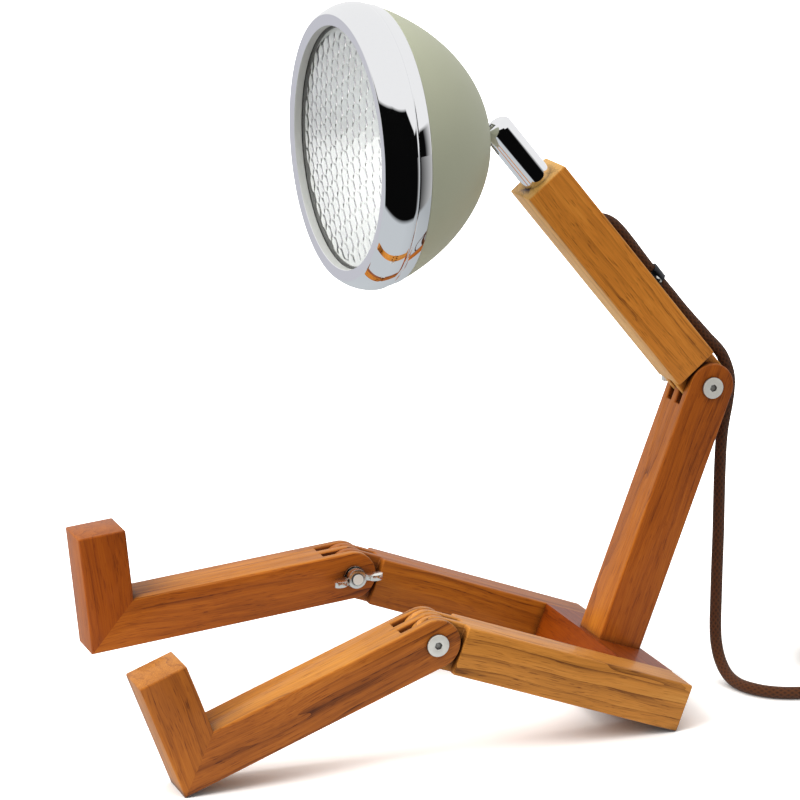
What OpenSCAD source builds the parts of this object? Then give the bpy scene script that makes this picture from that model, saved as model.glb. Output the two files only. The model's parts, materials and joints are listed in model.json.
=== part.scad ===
// Seated wooden figure desk lamp with a round lamp head.
// The figure faces -Y, its own left hand is at +X, and it sits on the plane z = 0.
// Millimetres throughout.

/* [Timber] */
// Width and depth of every square wooden bar
section = 22; // [18:0.5:28]
// Distance from a hinge pivot to the shoulders and the slot bottoms beside it
hinge_reach = 12; // [11.5:0.1:13.5]
// Side gap on each face of a hinge tongue
joint_play = 0.15; // [0.1:0.05:0.3]
// Gap around glued dowels and under bolt heads
glue_gap = 0.1; // [0.05:0.05:0.2]

/* [Seat] */
// Overall width of the seat, across both thighs
seat_width = 127; // [110:1:150]
// Rear face of a thigh to its knee pivot
thigh_length = 126.5; // [110:0.5:150]
// Depth of the cross rail between the thighs
rail_depth = 28; // [26:0.5:34]
// Angle of the seat above the table, knees up
seat_tilt = 20.5; // [15:0.5:24]
// Diameter of the rail's glued dowels
rail_dowel_d = 6; // [4:0.5:8]
// Length of the rail's glued dowels
rail_dowel_length = 24; // [18:1:30]

/* [Legs] */
// Knee pivot to the sole of the foot
shin_length = 126; // [110:0.5:150]
// Underside of the shin to the tip of the toes
foot_length = 54.5; // [46:0.5:64]
// Slope of the raised right shin below level
right_shin_drop = 5.5; // [0:0.5:12]
// Diameter of the dowels across the heel mitre
heel_dowel_d = 4; // [3:0.5:5]
// Length of the dowels across the heel mitre
heel_dowel_length = 14; // [10:1:16]

/* [Torso] */
// Seat top to the waist pivot
torso_length = 125; // [105:0.5:145]
// Rear face of the seat to the rear face of the torso
torso_setback = 2; // [0:0.5:3]
// Diameter of the bolt that holds the torso on the seat
torso_bolt_d = 6; // [5:0.5:8]
// Height of that bolt's tip above the seat top
torso_bolt_rise = 30; // [24:1:40]
// Diameter of the barrel nut in the torso
barrel_nut_d = 10; // [9:0.5:12]
// Height of the barrel nut above the seat top
barrel_nut_height = 22; // [16:1:26]

/* [Chest] */
// Waist pivot to the square top end of the chest
chest_length = 129.5; // [110:0.5:150]
// Forward bend of the chest at the waist
waist_bend = 60; // [40:1:80]
// Chest top to the bend where the cord passage turns out
passage_drop = 22.5; // [20.5:0.5:26]
// Diameter of the cord passage
passage_d = 6.6; // [6:0.1:8]
// Angle between the cord's exit and the back of the chest
exit_angle = 40; // [35:1:50]

/* [Fasteners] */
// Shank diameter of the hinge bolts
bolt_d = 5; // [4:0.5:6]
// Head diameter of the hinge bolts
bolt_head_d = 9.8; // [8.5:0.1:12]
// Head thickness of the hinge bolts
bolt_head_t = 1.6; // [1.2:0.1:2.5]
// Size across the flats of the sockets
socket_af = 3; // [2.5:0.5:5]
// Running clearance on the radius of bolts and threads
run_fit = 0.05; // [0.02:0.01:0.1]
// Diameter of the washers
washer_d = 10; // [9:0.5:12]
// Thickness of the washers
washer_t = 1; // [0.8:0.1:1.5]
// Hub diameter of the wing nuts
wing_hub_d = 9; // [8:0.5:11]
// Hub height of the wing nuts
wing_hub_h = 4; // [3.5:0.5:7]
// Radius out to the wing tips
wing_reach = 12; // [10.5:0.5:14]
// Thickness of the wings
wing_t = 2.6; // [2:0.1:3.2]
// Angle of the wings from level
wing_angle = 5; // [-90:1:90]

/* [Neck] */
// Outside diameter of the neck tube
tube_d = 14; // [13.4:0.1:16]
// Bore of the neck tube
tube_bore = 10; // [9.4:0.1:10.6]
// Length of the tube above the chest
tube_reach = 33; // [32:0.5:38]
// Depth of the tube in the chest
tube_depth = 18; // [14:0.5:20]
// Radius of the tube's rounded end
tube_round = 3; // [2:0.1:3.5]
// Depth of the groove for the set screw
groove_depth = 1; // [0.6:0.1:1.3]
// Chest top to the middle of that groove
groove_drop = 9; // [7:0.5:11]
// Width of that groove
groove_width = 4.4; // [4.2:0.1:6]
// Chest top to the centre of the ball
ball_height = 27; // [26:0.5:27.5]
// Stud diameter
stud_d = 4; // [3:0.1:4.2]
// Width of the slot that the stud moves in
slot_width = 5; // [4.6:0.1:6]
// Slot end below the ball's centre
slot_below = 6; // [5:0.5:8]

/* [Head] */
// Downward pitch of the lamp head
head_pitch = 0.7; // [-5:0.1:20]
// Swing of the lamp head towards the figure's left
head_swing = 1.1; // [-2:0.1:2]
// Ball centre to the rear pole of the shell
pole_reach = 9.8; // [9.6:0.1:12]
// Rear pole to the seam with the chrome ring
shell_depth = 47.5; // [40:0.5:56]
// Radius of the shell at the seam
shell_r = 59.9; // [54:0.1:66]
// Flatness of the dome: how far its widest point lies past the seam
dome_offset = 42; // [30:1:80]
// Wall of the shell
shell_wall = 1.2; // [0.8:0.1:2]
// Seam to the front plane of the chrome ring
bezel_depth = 20.4; // [18:0.1:24]
// Widest radius of the chrome ring
bezel_r = 62.2; // [61.4:0.1:70]
// Radius of the front edge of the chrome ring
front_r = 57.7; // [56:0.1:60]
// Radius of the opening over the glass
glass_r = 52.4; // [48:0.1:53]
// Depth of the glass rim behind the front plane
glass_recess = 4; // [3:0.1:5]
// Thickness of the glass
glass_t = 2.6; // [2:0.1:4]
// Rise of the glass at its middle
glass_crown = 3; // [1:0.1:4]

/* [Cord] */
// Diameter of the textile cord
cord_d = 5.5; // [5:0.1:6]
// Height of the cord clip above the waist pivot
clip_height = 56; // [52:1:62]
// Width of the cord clip along the cord
clip_width = 7; // [5:0.5:9]
// Radius of the coil at the middle of its turns
coil_r = 30; // [28:1:36]
// Turns side by side in the coil
coil_columns = 3; // [2:1:4]
// Turns on each other in the coil
coil_layers = 3; // [2:1:4]
// Thickness of the strap around the coil
tie_t = 0.7; // [0.5:0.1:1]
// Width of the strap around the coil
tie_w = 12; // [8:1:16]
// Length of the plug body
plug_length = 26; // [22:1:34]
// Width of the plug body
plug_width = 14; // [13:0.5:18]
// Height of the plug body
plug_height = 13; // [12:0.5:14]

/* [Hidden] */
$fn = 64;

half = section / 2;
layer = section / 5;
tongue_t = layer - 2 * joint_play;
thigh_x = (seat_width - section) / 2;
bolt_hole_d = bolt_d + 2 * run_fit;
bolt_tip = 1;
knee_z = thigh_length * sin(seat_tilt) + half * cos(seat_tilt);
knee_y = -thigh_length * cos(seat_tilt) + half * sin(seat_tilt);
// the left heel touches the table, which sets the slope of its shin
left_shin_drop = asin(knee_z / norm([shin_length, half])) - atan(half / shin_length);
chest_lean = waist_bend - seat_tilt;
neck_angle = 90 + head_pitch - chest_lean;
waist_b = torso_setback + half;
waist_h = section + torso_length;
waist_y = -waist_b * cos(seat_tilt) + waist_h * sin(seat_tilt);
waist_z = waist_b * sin(seat_tilt) + waist_h * cos(seat_tilt);

function toe_y(drop) = knee_y - shin_length * cos(drop) - (foot_length - half) * sin(drop);
front_y = min(toe_y(left_shin_drop), toe_y(right_shin_drop));
rear_y = waist_y + half;
// moves the figure so that the middle of its depth is at y = 0
shift_y = -(front_y + rear_y) / 2;

ball_d = tube_bore - 0.3;
socket_r = ball_d / 2 + 0.08;
seam_z = pole_reach + shell_depth;
front_z = seam_z + bezel_depth;
widest_z = seam_z + 7.5;
crease_z = seam_z + 4.8;
spigot_r = shell_r - 1.6;
spigot_length = 8;
dome_h = dome_offset + shell_depth;
dome_r = shell_r / sqrt(1 - pow(dome_offset / dome_h, 2));
glass_z = front_z - glass_recess;
rim_r = glass_r + 2.2;
gasket_t = 0.8;
reflector_z = glass_z - glass_t - gasket_t;
reflector_t = 1;
reflector_back_z = 31;
reflector_hole_r = 9;
sink_z = 17;
sink_r = 15;
board_z = 29;
led_r = 4;

passage_height = chest_length - passage_drop;
// the exit hole meets the back of the chest here
exit_z = passage_height - half / tan(exit_angle);
bush_d = 8.4;
bush_depth = 5;
bush_flange_d = 13;
bush_flange_t = 0.8;
lead_d = 5;
cord_r = cord_d / 2;

// points of the cord in the chest's plane: [behind the chest's axis, above the waist pivot]
clip_behind = 13.9;
above_clip = clip_height + 6;
below_bend = passage_height - 31;
back_route = [[9, passage_height - 10.6], [11, passage_height - 13], [12.7, passage_height - 15.6],
    [13.8, passage_height - 19], [14.3, passage_height - 24], [14.3, below_bend],
    [14.1, (below_bend + above_clip) / 2], [clip_behind, above_clip], [clip_behind, clip_height],
    [clip_behind, clip_height - 6], [14, 43], [14, 36], [14.2, 29], [14.6, 21], [15, 14.5]];
// points of the cord from the waist to the table and the coil: [x, behind the waist pivot, height at a waist
// height of 142.2]
drawn_waist_z = 142.2;
drop_route = [[0, 2.6, 162.6], [0, 8.3, 156.6], [0, 11, 152.2], [0, 12.9, 147.6], [0, 14, 142.6],
    [0, 13.9, 137], [0, 13.2, 131], [0, 12.1, 125], [0, 11.2, 119], [0, 10.6, 111], [0, 10.3, 96],
    [0, 10.3, 80], [0, 10.3, 67], [0, 10.1, 53], [0, 10, 39], [0, 10, 25], [1.7, 9.9, 16.4],
    [6.4, 9.9, 9.2], [13.6, 10.3, 4.5], [22, 11.5, 2.9], [31, 14.7, 2.9], [38, 20.7, 2.9],
    [42.5, 29.2, 2.9], [44.5, 38.7, 2.9], [45, 50.7, 2.9], [45, 63.7, 2.9], [45, 77.7, 3.1],
    [45, 91.7, 3.5]];
coil_centre = [9.5, 93.7];
tail_route = [[9.5, 129.2, 14.5], [3, 129.7, 14], [-4, 131.3, 12], [-11, 133.3, 9.2], [-17, 134.6, 7.2],
    [-22, 135, 6.5]];
plug_behind = 135;
plug_x = -20;
cord_y = waist_y + shift_y;
relief_length = 12;
pin_length = 19;
pin_d = 4;
coil_lift = tie_t + 0.1;
coil_w = coil_columns * cord_d;
coil_h = coil_layers * cord_d;

wood = [0.68, 0.42, 0.20];
wood_dark = [0.60, 0.34, 0.16];
steel = [0.78, 0.77, 0.74];
chrome = [0.85, 0.86, 0.88];
sage = [0.63, 0.65, 0.54];
cord_brown = [0.36, 0.22, 0.13];

// ---- places ----

module at_seat() {
    translate([0, shift_y, 0]) rotate([-seat_tilt, 0, 0]) children();
}

module at_knee(side) {
    at_seat() translate([side * thigh_x, -thigh_length, half]) children();
}

module at_shin(side) {
    drop = side > 0 ? left_shin_drop : right_shin_drop;
    at_knee(side) rotate([seat_tilt + drop, 0, 0]) children();
}

module at_torso() {
    at_seat() translate([0, -waist_b, section]) children();
}

module at_waist() {
    at_torso() translate([0, 0, torso_length]) children();
}

module at_chest() {
    at_waist() rotate([waist_bend, 0, 0]) children();
}

module at_ball() {
    at_chest() translate([0, 0, chest_length + ball_height])
        rotate([neck_angle, 0, 0]) rotate([0, head_swing, 0]) children();
}

// ---- shapes ----

// a cylinder along X, centred
module rod_x(d, l) {
    rotate([0, 90, 0]) cylinder(d = d, h = l, center = true);
}

// an outline in the YZ plane, extruded along X, centred
module slab_x(width, points) {
    translate([-width / 2, 0, 0]) rotate([90, 0, 90]) linear_extrude(width) polygon(points);
}

// hinge leaves around the pivot at the origin, running back to the bar along +Z
module leaves(places, thick) {
    for (i = places) translate([i * layer, 0, 0]) {
        rod_x(section, thick);
        translate([-thick / 2, -half, 0]) cube([thick, section, hinge_reach]);
    }
}

module tongues() {
    leaves([-1, 1], tongue_t);
}

module fingers() {
    leaves([-2, 0, 2], layer);
}

module hinge_hole() {
    rod_x(bolt_hole_d, section + 1);
}

// square bar along +Z from z0 to z1
module bar(z0, z1) {
    translate([-half, -half, z0]) cube([section, section, z1 - z0]);
}

module hinge_bolt(grip) {
    difference() {
        union() {
            translate([half + glue_gap + bolt_head_t / 2, 0, 0]) rod_x(bolt_head_d, bolt_head_t);
            translate([half + glue_gap - grip / 2, 0, 0]) rod_x(bolt_d, grip);
        }
        translate([half + glue_gap + bolt_head_t - 1, 0, 0]) rotate([0, 90, 0])
            cylinder(d = socket_af / cos(30), h = 2, $fn = 6);
    }
}

grip_length = section + 3 * glue_gap + washer_t + wing_hub_h + bolt_tip;

module washer() {
    translate([-half - glue_gap - washer_t / 2, 0, 0]) difference() {
        rod_x(washer_d, washer_t);
        rod_x(bolt_hole_d, washer_t + 1);
    }
}

// wings lie in a plane through the bolt's axis; the hub's face is at the origin, facing +X
module wing_nut() {
    ear_r = 3.4;
    translate([-half - 2 * glue_gap - washer_t, 0, 0]) rotate([wing_angle, 0, 0]) difference() {
        union() {
            translate([-wing_hub_h / 2, 0, 0]) rod_x(wing_hub_d, wing_hub_h);
            for (s = [-1, 1]) wing(s, ear_r);
        }
        translate([-wing_hub_h / 2, 0, 0]) rod_x(bolt_hole_d, wing_hub_h + 1);
    }
}

module wing(s, ear_r) {
    root_r = wing_hub_d / 2 - 0.6;
    ear_x = -wing_hub_h - 0.6;
    translate([0, 0, -wing_t / 2]) linear_extrude(wing_t) {
        translate([ear_x, s * (wing_reach - ear_r)]) circle(ear_r);
        polygon([[-0.8, s * root_r], [-wing_hub_h, s * root_r],
            [ear_x - ear_r * 0.9, s * (wing_reach - ear_r - 1.4)],
            [ear_x + ear_r * 0.8, s * (wing_reach - ear_r + 1.9)]]);
    }
}

// ---- seat ----

module thigh(side) {
    difference() {
        at_knee(side) rotate([-90, 0, 0]) {
            bar(hinge_reach, thigh_length);
            tongues();
        }
        at_knee(side) hinge_hole();
        rail_dowel_rods(2 * glue_gap);
    }
}

module seat_rail() {
    color(wood_dark) difference() {
        at_seat() translate([-thigh_x + half, -rail_depth, 0])
            cube([2 * thigh_x - section, rail_depth, section]);
        rail_dowel_rods(2 * glue_gap);
        at_torso() {
            cylinder(d = torso_bolt_d + 2 * glue_gap, h = 4 * section, center = true);
            translate([0, 0, -section - 1]) cylinder(d = bolt_head_d + 1, h = 5.5);
        }
    }
}

module rail_dowel_rods(gap) {
    at_seat() for (s = [-1, 1], b = [0.25, 0.75])
        translate([s * (thigh_x - half), -rail_depth * b, half])
            rod_x(rail_dowel_d + gap, rail_dowel_length + gap);
}

module left_thigh() {
    color(wood) thigh(1);
}

module right_thigh() {
    color(wood) thigh(-1);
}

module rail_dowels() {
    color("wheat") rail_dowel_rods(0);
}

// ---- torso ----

module torso_bar() {
    color(wood_dark) difference() {
        union() {
            at_torso() bar(0, torso_length - hinge_reach);
            at_waist() rotate([180, 0, 0]) fingers();
        }
        at_waist() hinge_hole();
        at_torso() {
            translate([0, 0, -1]) cylinder(d = torso_bolt_d + 2 * glue_gap, h = torso_bolt_rise + 2);
            translate([0, 0, barrel_nut_height]) rod_x(barrel_nut_d + 2 * glue_gap, section * 0.8);
        }
    }
}

module torso_bolt() {
    color(steel) at_torso() difference() {
        union() {
            translate([0, 0, -section + 0.5]) cylinder(d = bolt_head_d, h = 4);
            translate([0, 0, -section + 4]) cylinder(d = torso_bolt_d, h = torso_bolt_rise + section - 4);
        }
        translate([0, 0, -section]) cylinder(d = socket_af / cos(30), h = 3, $fn = 6);
    }
}

module torso_barrel_nut() {
    color(steel) at_torso() translate([0, 0, barrel_nut_height]) difference() {
        rod_x(barrel_nut_d, section * 0.75);
        cylinder(d = torso_bolt_d + 2 * run_fit, h = 2 * barrel_nut_d, center = true);
    }
}

// ---- legs ----

module heel_dowel_rods(side, gap) {
    at_shin(side) translate([0, -shin_length + half, 0]) for (s = [-1, 1])
        translate([s * section / 4, 0, 0]) rotate([45, 0, 0])
            translate([0, 0, -(heel_dowel_length + gap) / 2])
                cylinder(d = heel_dowel_d + gap, h = heel_dowel_length + gap);
}

module shin(side) {
    difference() {
        at_shin(side) {
            slab_x(section, [[-hinge_reach, -half], [-shin_length, -half], [-shin_length + section, half],
                [-hinge_reach, half]]);
            rotate([90, 0, 0]) fingers();
        }
        at_shin(side) hinge_hole();
        heel_dowel_rods(side, 2 * glue_gap);
    }
}

module foot(side) {
    difference() {
        at_shin(side) slab_x(section, [[-shin_length, -half], [-shin_length + section, half],
            [-shin_length + section, foot_length - half], [-shin_length, foot_length - half]]);
        heel_dowel_rods(side, 2 * glue_gap);
    }
}

module left_shin() {
    color(wood) shin(1);
}

module right_shin() {
    color(wood) shin(-1);
}

module left_foot() {
    color(wood_dark) foot(1);
}

module right_foot() {
    color(wood_dark) foot(-1);
}

module left_heel_dowels() {
    color("wheat") heel_dowel_rods(1, 0);
}

module right_heel_dowels() {
    color("wheat") heel_dowel_rods(-1, 0);
}

// ---- hinge hardware ----

module left_knee_bolt() {
    color(steel) at_knee(1) hinge_bolt(grip_length);
}

module right_knee_bolt() {
    color(steel) at_knee(-1) mirror([1, 0, 0]) hinge_bolt(grip_length);
}

module waist_bolt() {
    color(steel) at_waist() hinge_bolt(grip_length);
}

module hinge_washers() {
    color(steel) {
        at_knee(1) washer();
        at_knee(-1) mirror([1, 0, 0]) washer();
        at_waist() washer();
    }
}

module left_knee_wing_nut() {
    color(steel) at_knee(1) rotate([seat_tilt, 0, 0]) wing_nut();
}

module right_knee_wing_nut() {
    color(steel) at_knee(-1) rotate([seat_tilt, 0, 0]) mirror([1, 0, 0]) wing_nut();
}

module waist_wing_nut() {
    color(steel) at_waist() rotate([seat_tilt, 0, 0]) wing_nut();
}

// ---- chest ----

module exit_drill(d) {
    at_chest() translate([0, 0, passage_height]) rotate([-(180 - exit_angle), 0, 0])
        cylinder(d = d, h = 3 * half);
}

module chest_bar() {
    color(wood) difference() {
        at_chest() {
            bar(hinge_reach, chest_length);
            tongues();
        }
        at_chest() {
            hinge_hole();
            translate([0, 0, chest_length - tube_depth])
                cylinder(d = tube_d + 2 * run_fit, h = tube_depth + 1);
            translate([0, 0, passage_height]) cylinder(d = passage_d, h = passage_drop);
            translate([0, 0, passage_height]) sphere(d = passage_d);
            translate([0, 0, chest_length - groove_drop]) rotate([-90, 0, 0]) cylinder(d = 4, h = section);
        }
        exit_drill(passage_d);
        bush_seat(2 * glue_gap);
    }
}

// the widened mouth of the exit hole
module bush_seat(gap) {
    at_chest() translate([0, half, exit_z]) rotate([-(180 - exit_angle), 0, 0])
        translate([0, 0, -bush_depth - gap / 2]) cylinder(d = bush_d + gap, h = bush_depth + 8);
}

module cord_bush() {
    color([0.1, 0.1, 0.1]) difference() {
        union() {
            intersection() {
                at_chest() translate([0, half, exit_z]) rotate([-(180 - exit_angle), 0, 0])
                    translate([0, 0, -bush_depth]) cylinder(d = bush_d, h = bush_depth + 8);
                at_chest() translate([-section, -section, exit_z - section])
                    cube([2 * section, section + half + bush_flange_t, 2 * section]);
            }
            at_chest() translate([0, half, exit_z]) rotate([-90, 0, 0])
                cylinder(d = bush_flange_d, h = bush_flange_t);
        }
        exit_drill(cord_d);
    }
}

// the cord's covered run inside the chest, from the neck tube to the bush
module inner_lead() {
    elbow = half / sin(exit_angle) - bush_depth;
    color(cord_brown) at_chest() translate([0, 0, passage_height]) {
        cylinder(d = lead_d, h = passage_drop + 4);
        sphere(d = lead_d);
        rotate([-(180 - exit_angle), 0, 0]) cylinder(d = lead_d, h = elbow);
    }
}

module neck_set_screw() {
    tip = tube_d / 2 - groove_depth + glue_gap;
    color("dimgray") at_chest() translate([0, 0, chest_length - groove_drop]) rotate([-90, 0, 0])
        difference() {
            translate([0, 0, tip]) cylinder(d = 4 - 2 * run_fit, h = half - tip - 0.3);
            translate([0, 0, half - 2]) cylinder(d = 2.2, h = 3, $fn = 6);
        }
}

// ---- neck ----

module neck_tube() {
    top = tube_reach;
    roof = ball_height - 0.5;
    color(chrome) at_chest() translate([0, 0, chest_length]) difference() {
        rotate_extrude() difference() {
            union() {
                translate([0, -tube_depth]) square([tube_d / 2, tube_depth + top - tube_round]);
                translate([0, -tube_depth]) square([tube_d / 2 - tube_round, tube_depth + top]);
                translate([tube_d / 2 - tube_round, top - tube_round]) circle(tube_round);
            }
            translate([0, -tube_depth - 1]) square([tube_bore / 2, tube_depth + 1 + roof]);
            intersection() {
                translate([0, ball_height]) circle(socket_r + 0.07);
                translate([0, roof - 0.01]) square([tube_d, tube_d]);
            }
            translate([tube_d / 2 - groove_depth, -groove_drop - groove_width / 2])
                square([groove_depth + 1, groove_width]);
        }
        translate([-slot_width / 2, -tube_d, ball_height - slot_below + slot_width / 2])
            cube([slot_width, tube_d, tube_d]);
        translate([0, 0, ball_height - slot_below + slot_width / 2]) rotate([90, 0, 0])
            cylinder(d = slot_width, h = tube_d);
    }
}

module ball_stud() {
    color("dimgray") at_ball() {
        sphere(d = ball_d);
        cylinder(d = stud_d, h = sink_z + 6);
    }
}

module friction_cup() {
    cup_h = 6;
    color("ivory") at_chest() translate([0, 0, chest_length + ball_height]) difference() {
        translate([0, 0, -cup_h - 2]) cylinder(d = tube_bore - 2 * run_fit, h = cup_h);
        sphere(r = socket_r);
        translate([0, 0, -cup_h - 3]) cylinder(d = 3, h = cup_h);
    }
}

spring_top = ball_height - 8.1;
spring_count = 4;
spring_t = 0.8;
spring_rise = 0.9;

module disc_springs() {
    color(steel) at_chest() translate([0, 0, chest_length + spring_top]) rotate_extrude()
        for (i = [1 : spring_count]) {
            z = -i * (spring_t + spring_rise);
            low = i % 2 == 0 ? 0 : spring_rise;
            high = spring_rise - low;
            polygon([[2.8, z + low], [4.7, z + high], [4.7, z + high + spring_t], [2.8, z + low + spring_t]]);
        }
}

module spring_collar() {
    z = spring_top - spring_count * (spring_t + spring_rise) - 0.1;
    color(steel) at_chest() translate([0, 0, chest_length + z - 3]) difference() {
        cylinder(d = tube_bore - 2 * run_fit, h = 3);
        translate([0, 0, -1]) cylinder(d = lead_d + 0.6, h = 5);
    }
}

// ---- head ----

module stud_collar() {
    color([0.15, 0.15, 0.15]) at_ball() translate([0, 0, pole_reach - 1.4]) difference() {
        cylinder(d = 7, h = 1.4 - glue_gap);
        translate([0, 0, -1]) cylinder(d = stud_d + 2 * run_fit, h = 4);
    }
}

module stud_lock_nut() {
    color(steel) at_ball() translate([0, 0, pole_reach + shell_wall + 3 * glue_gap]) difference() {
        cylinder(d = 8, h = 3, $fn = 6);
        translate([0, 0, -1]) cylinder(d = stud_d + 2 * run_fit, h = 5);
    }
}

// radius of the dome at a height z in front of the ball, less a wall
function dome_at(z, wall) = (dome_r - wall)
    * sqrt(max(0, 1 - pow((seam_z - z + dome_offset) / (dome_h - wall), 2)));
dome_steps = 20;
function dome_z(i, wall) = pole_reach + wall + (shell_depth - wall) * (1 - cos(90 * i / dome_steps));
function dome_curve(wall) = [for (i = [0 : dome_steps])
    let (z = dome_z(i, wall)) [dome_at(z, wall), z]];

module head_shell() {
    outer = dome_curve(0);
    inner = dome_curve(shell_wall);
    back = [for (i = [dome_steps : -1 : 0]) inner[i]];
    color(sage) at_ball() difference() {
        rotate_extrude($fn = 96) polygon(concat(outer, [[spigot_r, seam_z],
            [spigot_r, seam_z + spigot_length], [spigot_r - shell_wall, seam_z + spigot_length],
            [spigot_r - shell_wall, seam_z - 2]], back));
        cylinder(d = stud_d + 2 * glue_gap, h = 3 * pole_reach);
    }
}

bezel_wall = 1.2;
bezel_steps = 10;
bezel_curve = [for (i = [0 : bezel_steps]) let (t = i / bezel_steps)
    [bezel_r - (bezel_r - front_r) * pow(t, 2.2), widest_z + (front_z - widest_z) * t]];

module bezel_ring() {
    gap_r = spigot_r + glue_gap;
    inside = [for (i = [bezel_steps : -1 : 0]) if (bezel_curve[i][1] < glass_z - 1)
        [max(gap_r, bezel_curve[i][0] - bezel_wall), bezel_curve[i][1] - 0.5]];
    color(chrome) at_ball() rotate_extrude($fn = 96) polygon(concat(
        [[shell_r + 0.4, seam_z + glue_gap], [bezel_r - 0.5, crease_z]], bezel_curve,
        [[glass_r, front_z - 0.5], [glass_r, glass_z], [rim_r + glue_gap, glass_z],
            [rim_r + glue_gap, glass_z - 1.5]], inside, [[gap_r, crease_z], [gap_r, seam_z + glue_gap]]));
}

function glass_at(r) = glass_z - glue_gap + glass_crown * (1 - pow(r / (glass_r - 0.4), 2));

module lens_glass() {
    steps = 12;
    face = [for (i = [0 : steps]) let (r = (glass_r - 0.4) * i / steps) [r, glass_at(r)]];
    rear = [for (i = [steps : -1 : 0]) [face[i][0], face[i][1] - glass_t]];
    color([0.9, 0.93, 0.95]) at_ball() rotate_extrude($fn = 96) polygon(concat(face,
        [[rim_r, glass_z - glue_gap], [rim_r, glass_z - glue_gap - glass_t]], rear));
}

module lens_gasket() {
    color([0.1, 0.1, 0.1]) at_ball() translate([0, 0, reflector_z]) difference() {
        cylinder(r = rim_r, h = gasket_t - glue_gap);
        translate([0, 0, -1]) cylinder(r = glass_r - 1, h = 3);
    }
}

function bowl_z(r) = reflector_back_z + (reflector_z - reflector_t - reflector_back_z)
    * (pow(r, 2) - pow(reflector_hole_r, 2)) / (pow(glass_r - 1, 2) - pow(reflector_hole_r, 2));

module reflector() {
    steps = 12;
    reach = glass_r - 1 - reflector_hole_r;
    bowl = [for (i = [0 : steps]) let (r = reflector_hole_r + reach * i / steps) [r, bowl_z(r)]];
    back = [for (i = [steps : -1 : 0]) [bowl[i][0], bowl[i][1] + reflector_t]];
    color(chrome) at_ball() rotate_extrude($fn = 96) polygon(concat(bowl,
        [[rim_r, reflector_z - reflector_t], [rim_r, reflector_z - glue_gap]], back));
}

module heat_sink() {
    color("silver") at_ball() difference() {
        union() {
            translate([0, 0, sink_z]) cylinder(r = 7, h = board_z - sink_z - glue_gap);
            for (i = [0 : 3]) translate([0, 0, sink_z + 3 * i])
                cylinder(r = sink_r - (i == 0 ? 4 : 0), h = 1.4);
        }
        translate([0, 0, -1]) cylinder(d = stud_d + 2 * run_fit, h = sink_z + 6 + 1.5);
    }
}

module led_board() {
    color([0.95, 0.95, 0.95]) at_ball() translate([0, 0, board_z])
        cylinder(r = reflector_hole_r - 0.8, h = 1.6);
}

module led_emitter() {
    color([1, 0.95, 0.7]) at_ball() translate([0, 0, board_z + 1.6]) {
        cylinder(r = led_r, h = 1);
        translate([0, 0, 1]) intersection() {
            sphere(r = led_r - 0.5);
            cylinder(r = led_r, h = led_r);
        }
    }
}

module touch_board() {
    color([0.1, 0.35, 0.2]) at_ball() translate([0, 0, sink_z + 3 + 1.4]) difference() {
        cylinder(r = sink_r + 4, h = 1.4);
        translate([0, 0, -1]) cylinder(r = 7 + 2 * glue_gap, h = 4);
    }
}

// ---- cord ----

// rings of a tube around a route, as points
function unit(v) = v / norm(v);
function heading(route, i) = unit(route[min(i + 1, len(route) - 1)] - route[max(i - 1, 0)]);
tube_sides = 10;
function ring(route, i, first) =
    let (h = heading(route, i), s = unit(first - h * (first * h)), t = cross(h, s))
    [for (k = [0 : tube_sides - 1]) let (a = 360 * k / tube_sides)
        route[i] + cord_r * (cos(a) * s + sin(a) * t)];

// a round tube along a route; first is a direction that is never along the route
module cord_tube(route, first) {
    n = len(route);
    m = tube_sides;
    points = [for (i = [0 : n - 1]) each ring(route, i, first)];
    sides = [for (i = [0 : n - 2], k = [0 : m - 1])
        let (a = i * m + k, b = i * m + (k + 1) % m) [a, a + m, b + m, b]];
    ends = [[for (k = [0 : m - 1]) k], [for (k = [m - 1 : -1 : 0]) (n - 1) * m + k]];
    polyhedron(points = points, faces = concat(sides, ends), convexity = 6);
}

function laid(route) = [for (p = route) p + [0, cord_y, 0]];
// the part of a route above the cord's bend to the table follows the height of the waist
bend_z = 25;
function hung(route) = [for (p = laid(route))
    [p[0], p[1], p[2] + max(0, p[2] - bend_z) * (waist_z - drawn_waist_z) / (drawn_waist_z - bend_z)]];
function on_back(route) = [for (p = route) [0, p[0], p[1]]];

module cord_back_run() {
    color(cord_brown) at_chest() cord_tube(on_back(back_route), [1, 0, 0]);
}

module cord_drop() {
    color(cord_brown) cord_tube(hung(drop_route), [0.3, -0.4, 0.9]);
}

module cord_coil() {
    color(cord_brown) translate([coil_centre[0], coil_centre[1] + cord_y, coil_lift])
        rotate_extrude($fn = 72) translate([coil_r - coil_w / 2, 0]) square([coil_w, coil_h]);
}

module cord_tail() {
    color(cord_brown) cord_tube(laid(tail_route), [0, 0.2, 1]);
}

// a strap around the coil's bundle of turns, at its -X side
module coil_strap() {
    gap = 0.1;
    inner_r = coil_r - coil_w / 2;
    sag = inner_r - sqrt(pow(inner_r, 2) - pow(tie_w / 2, 2));
    room = [coil_w + sag + 2 * gap, coil_h + 2 * gap];
    color([0.12, 0.1, 0.1])
        translate([coil_centre[0] - coil_r - coil_w / 2 - gap, coil_centre[1] + cord_y, 0]) rotate([90, 0, 0])
            linear_extrude(tie_w, center = true) difference() {
                translate([-tie_t, 0]) square([room[0] + 2 * tie_t, room[1] + 2 * tie_t]);
                translate([0, tie_t]) square(room);
            }
}

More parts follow.
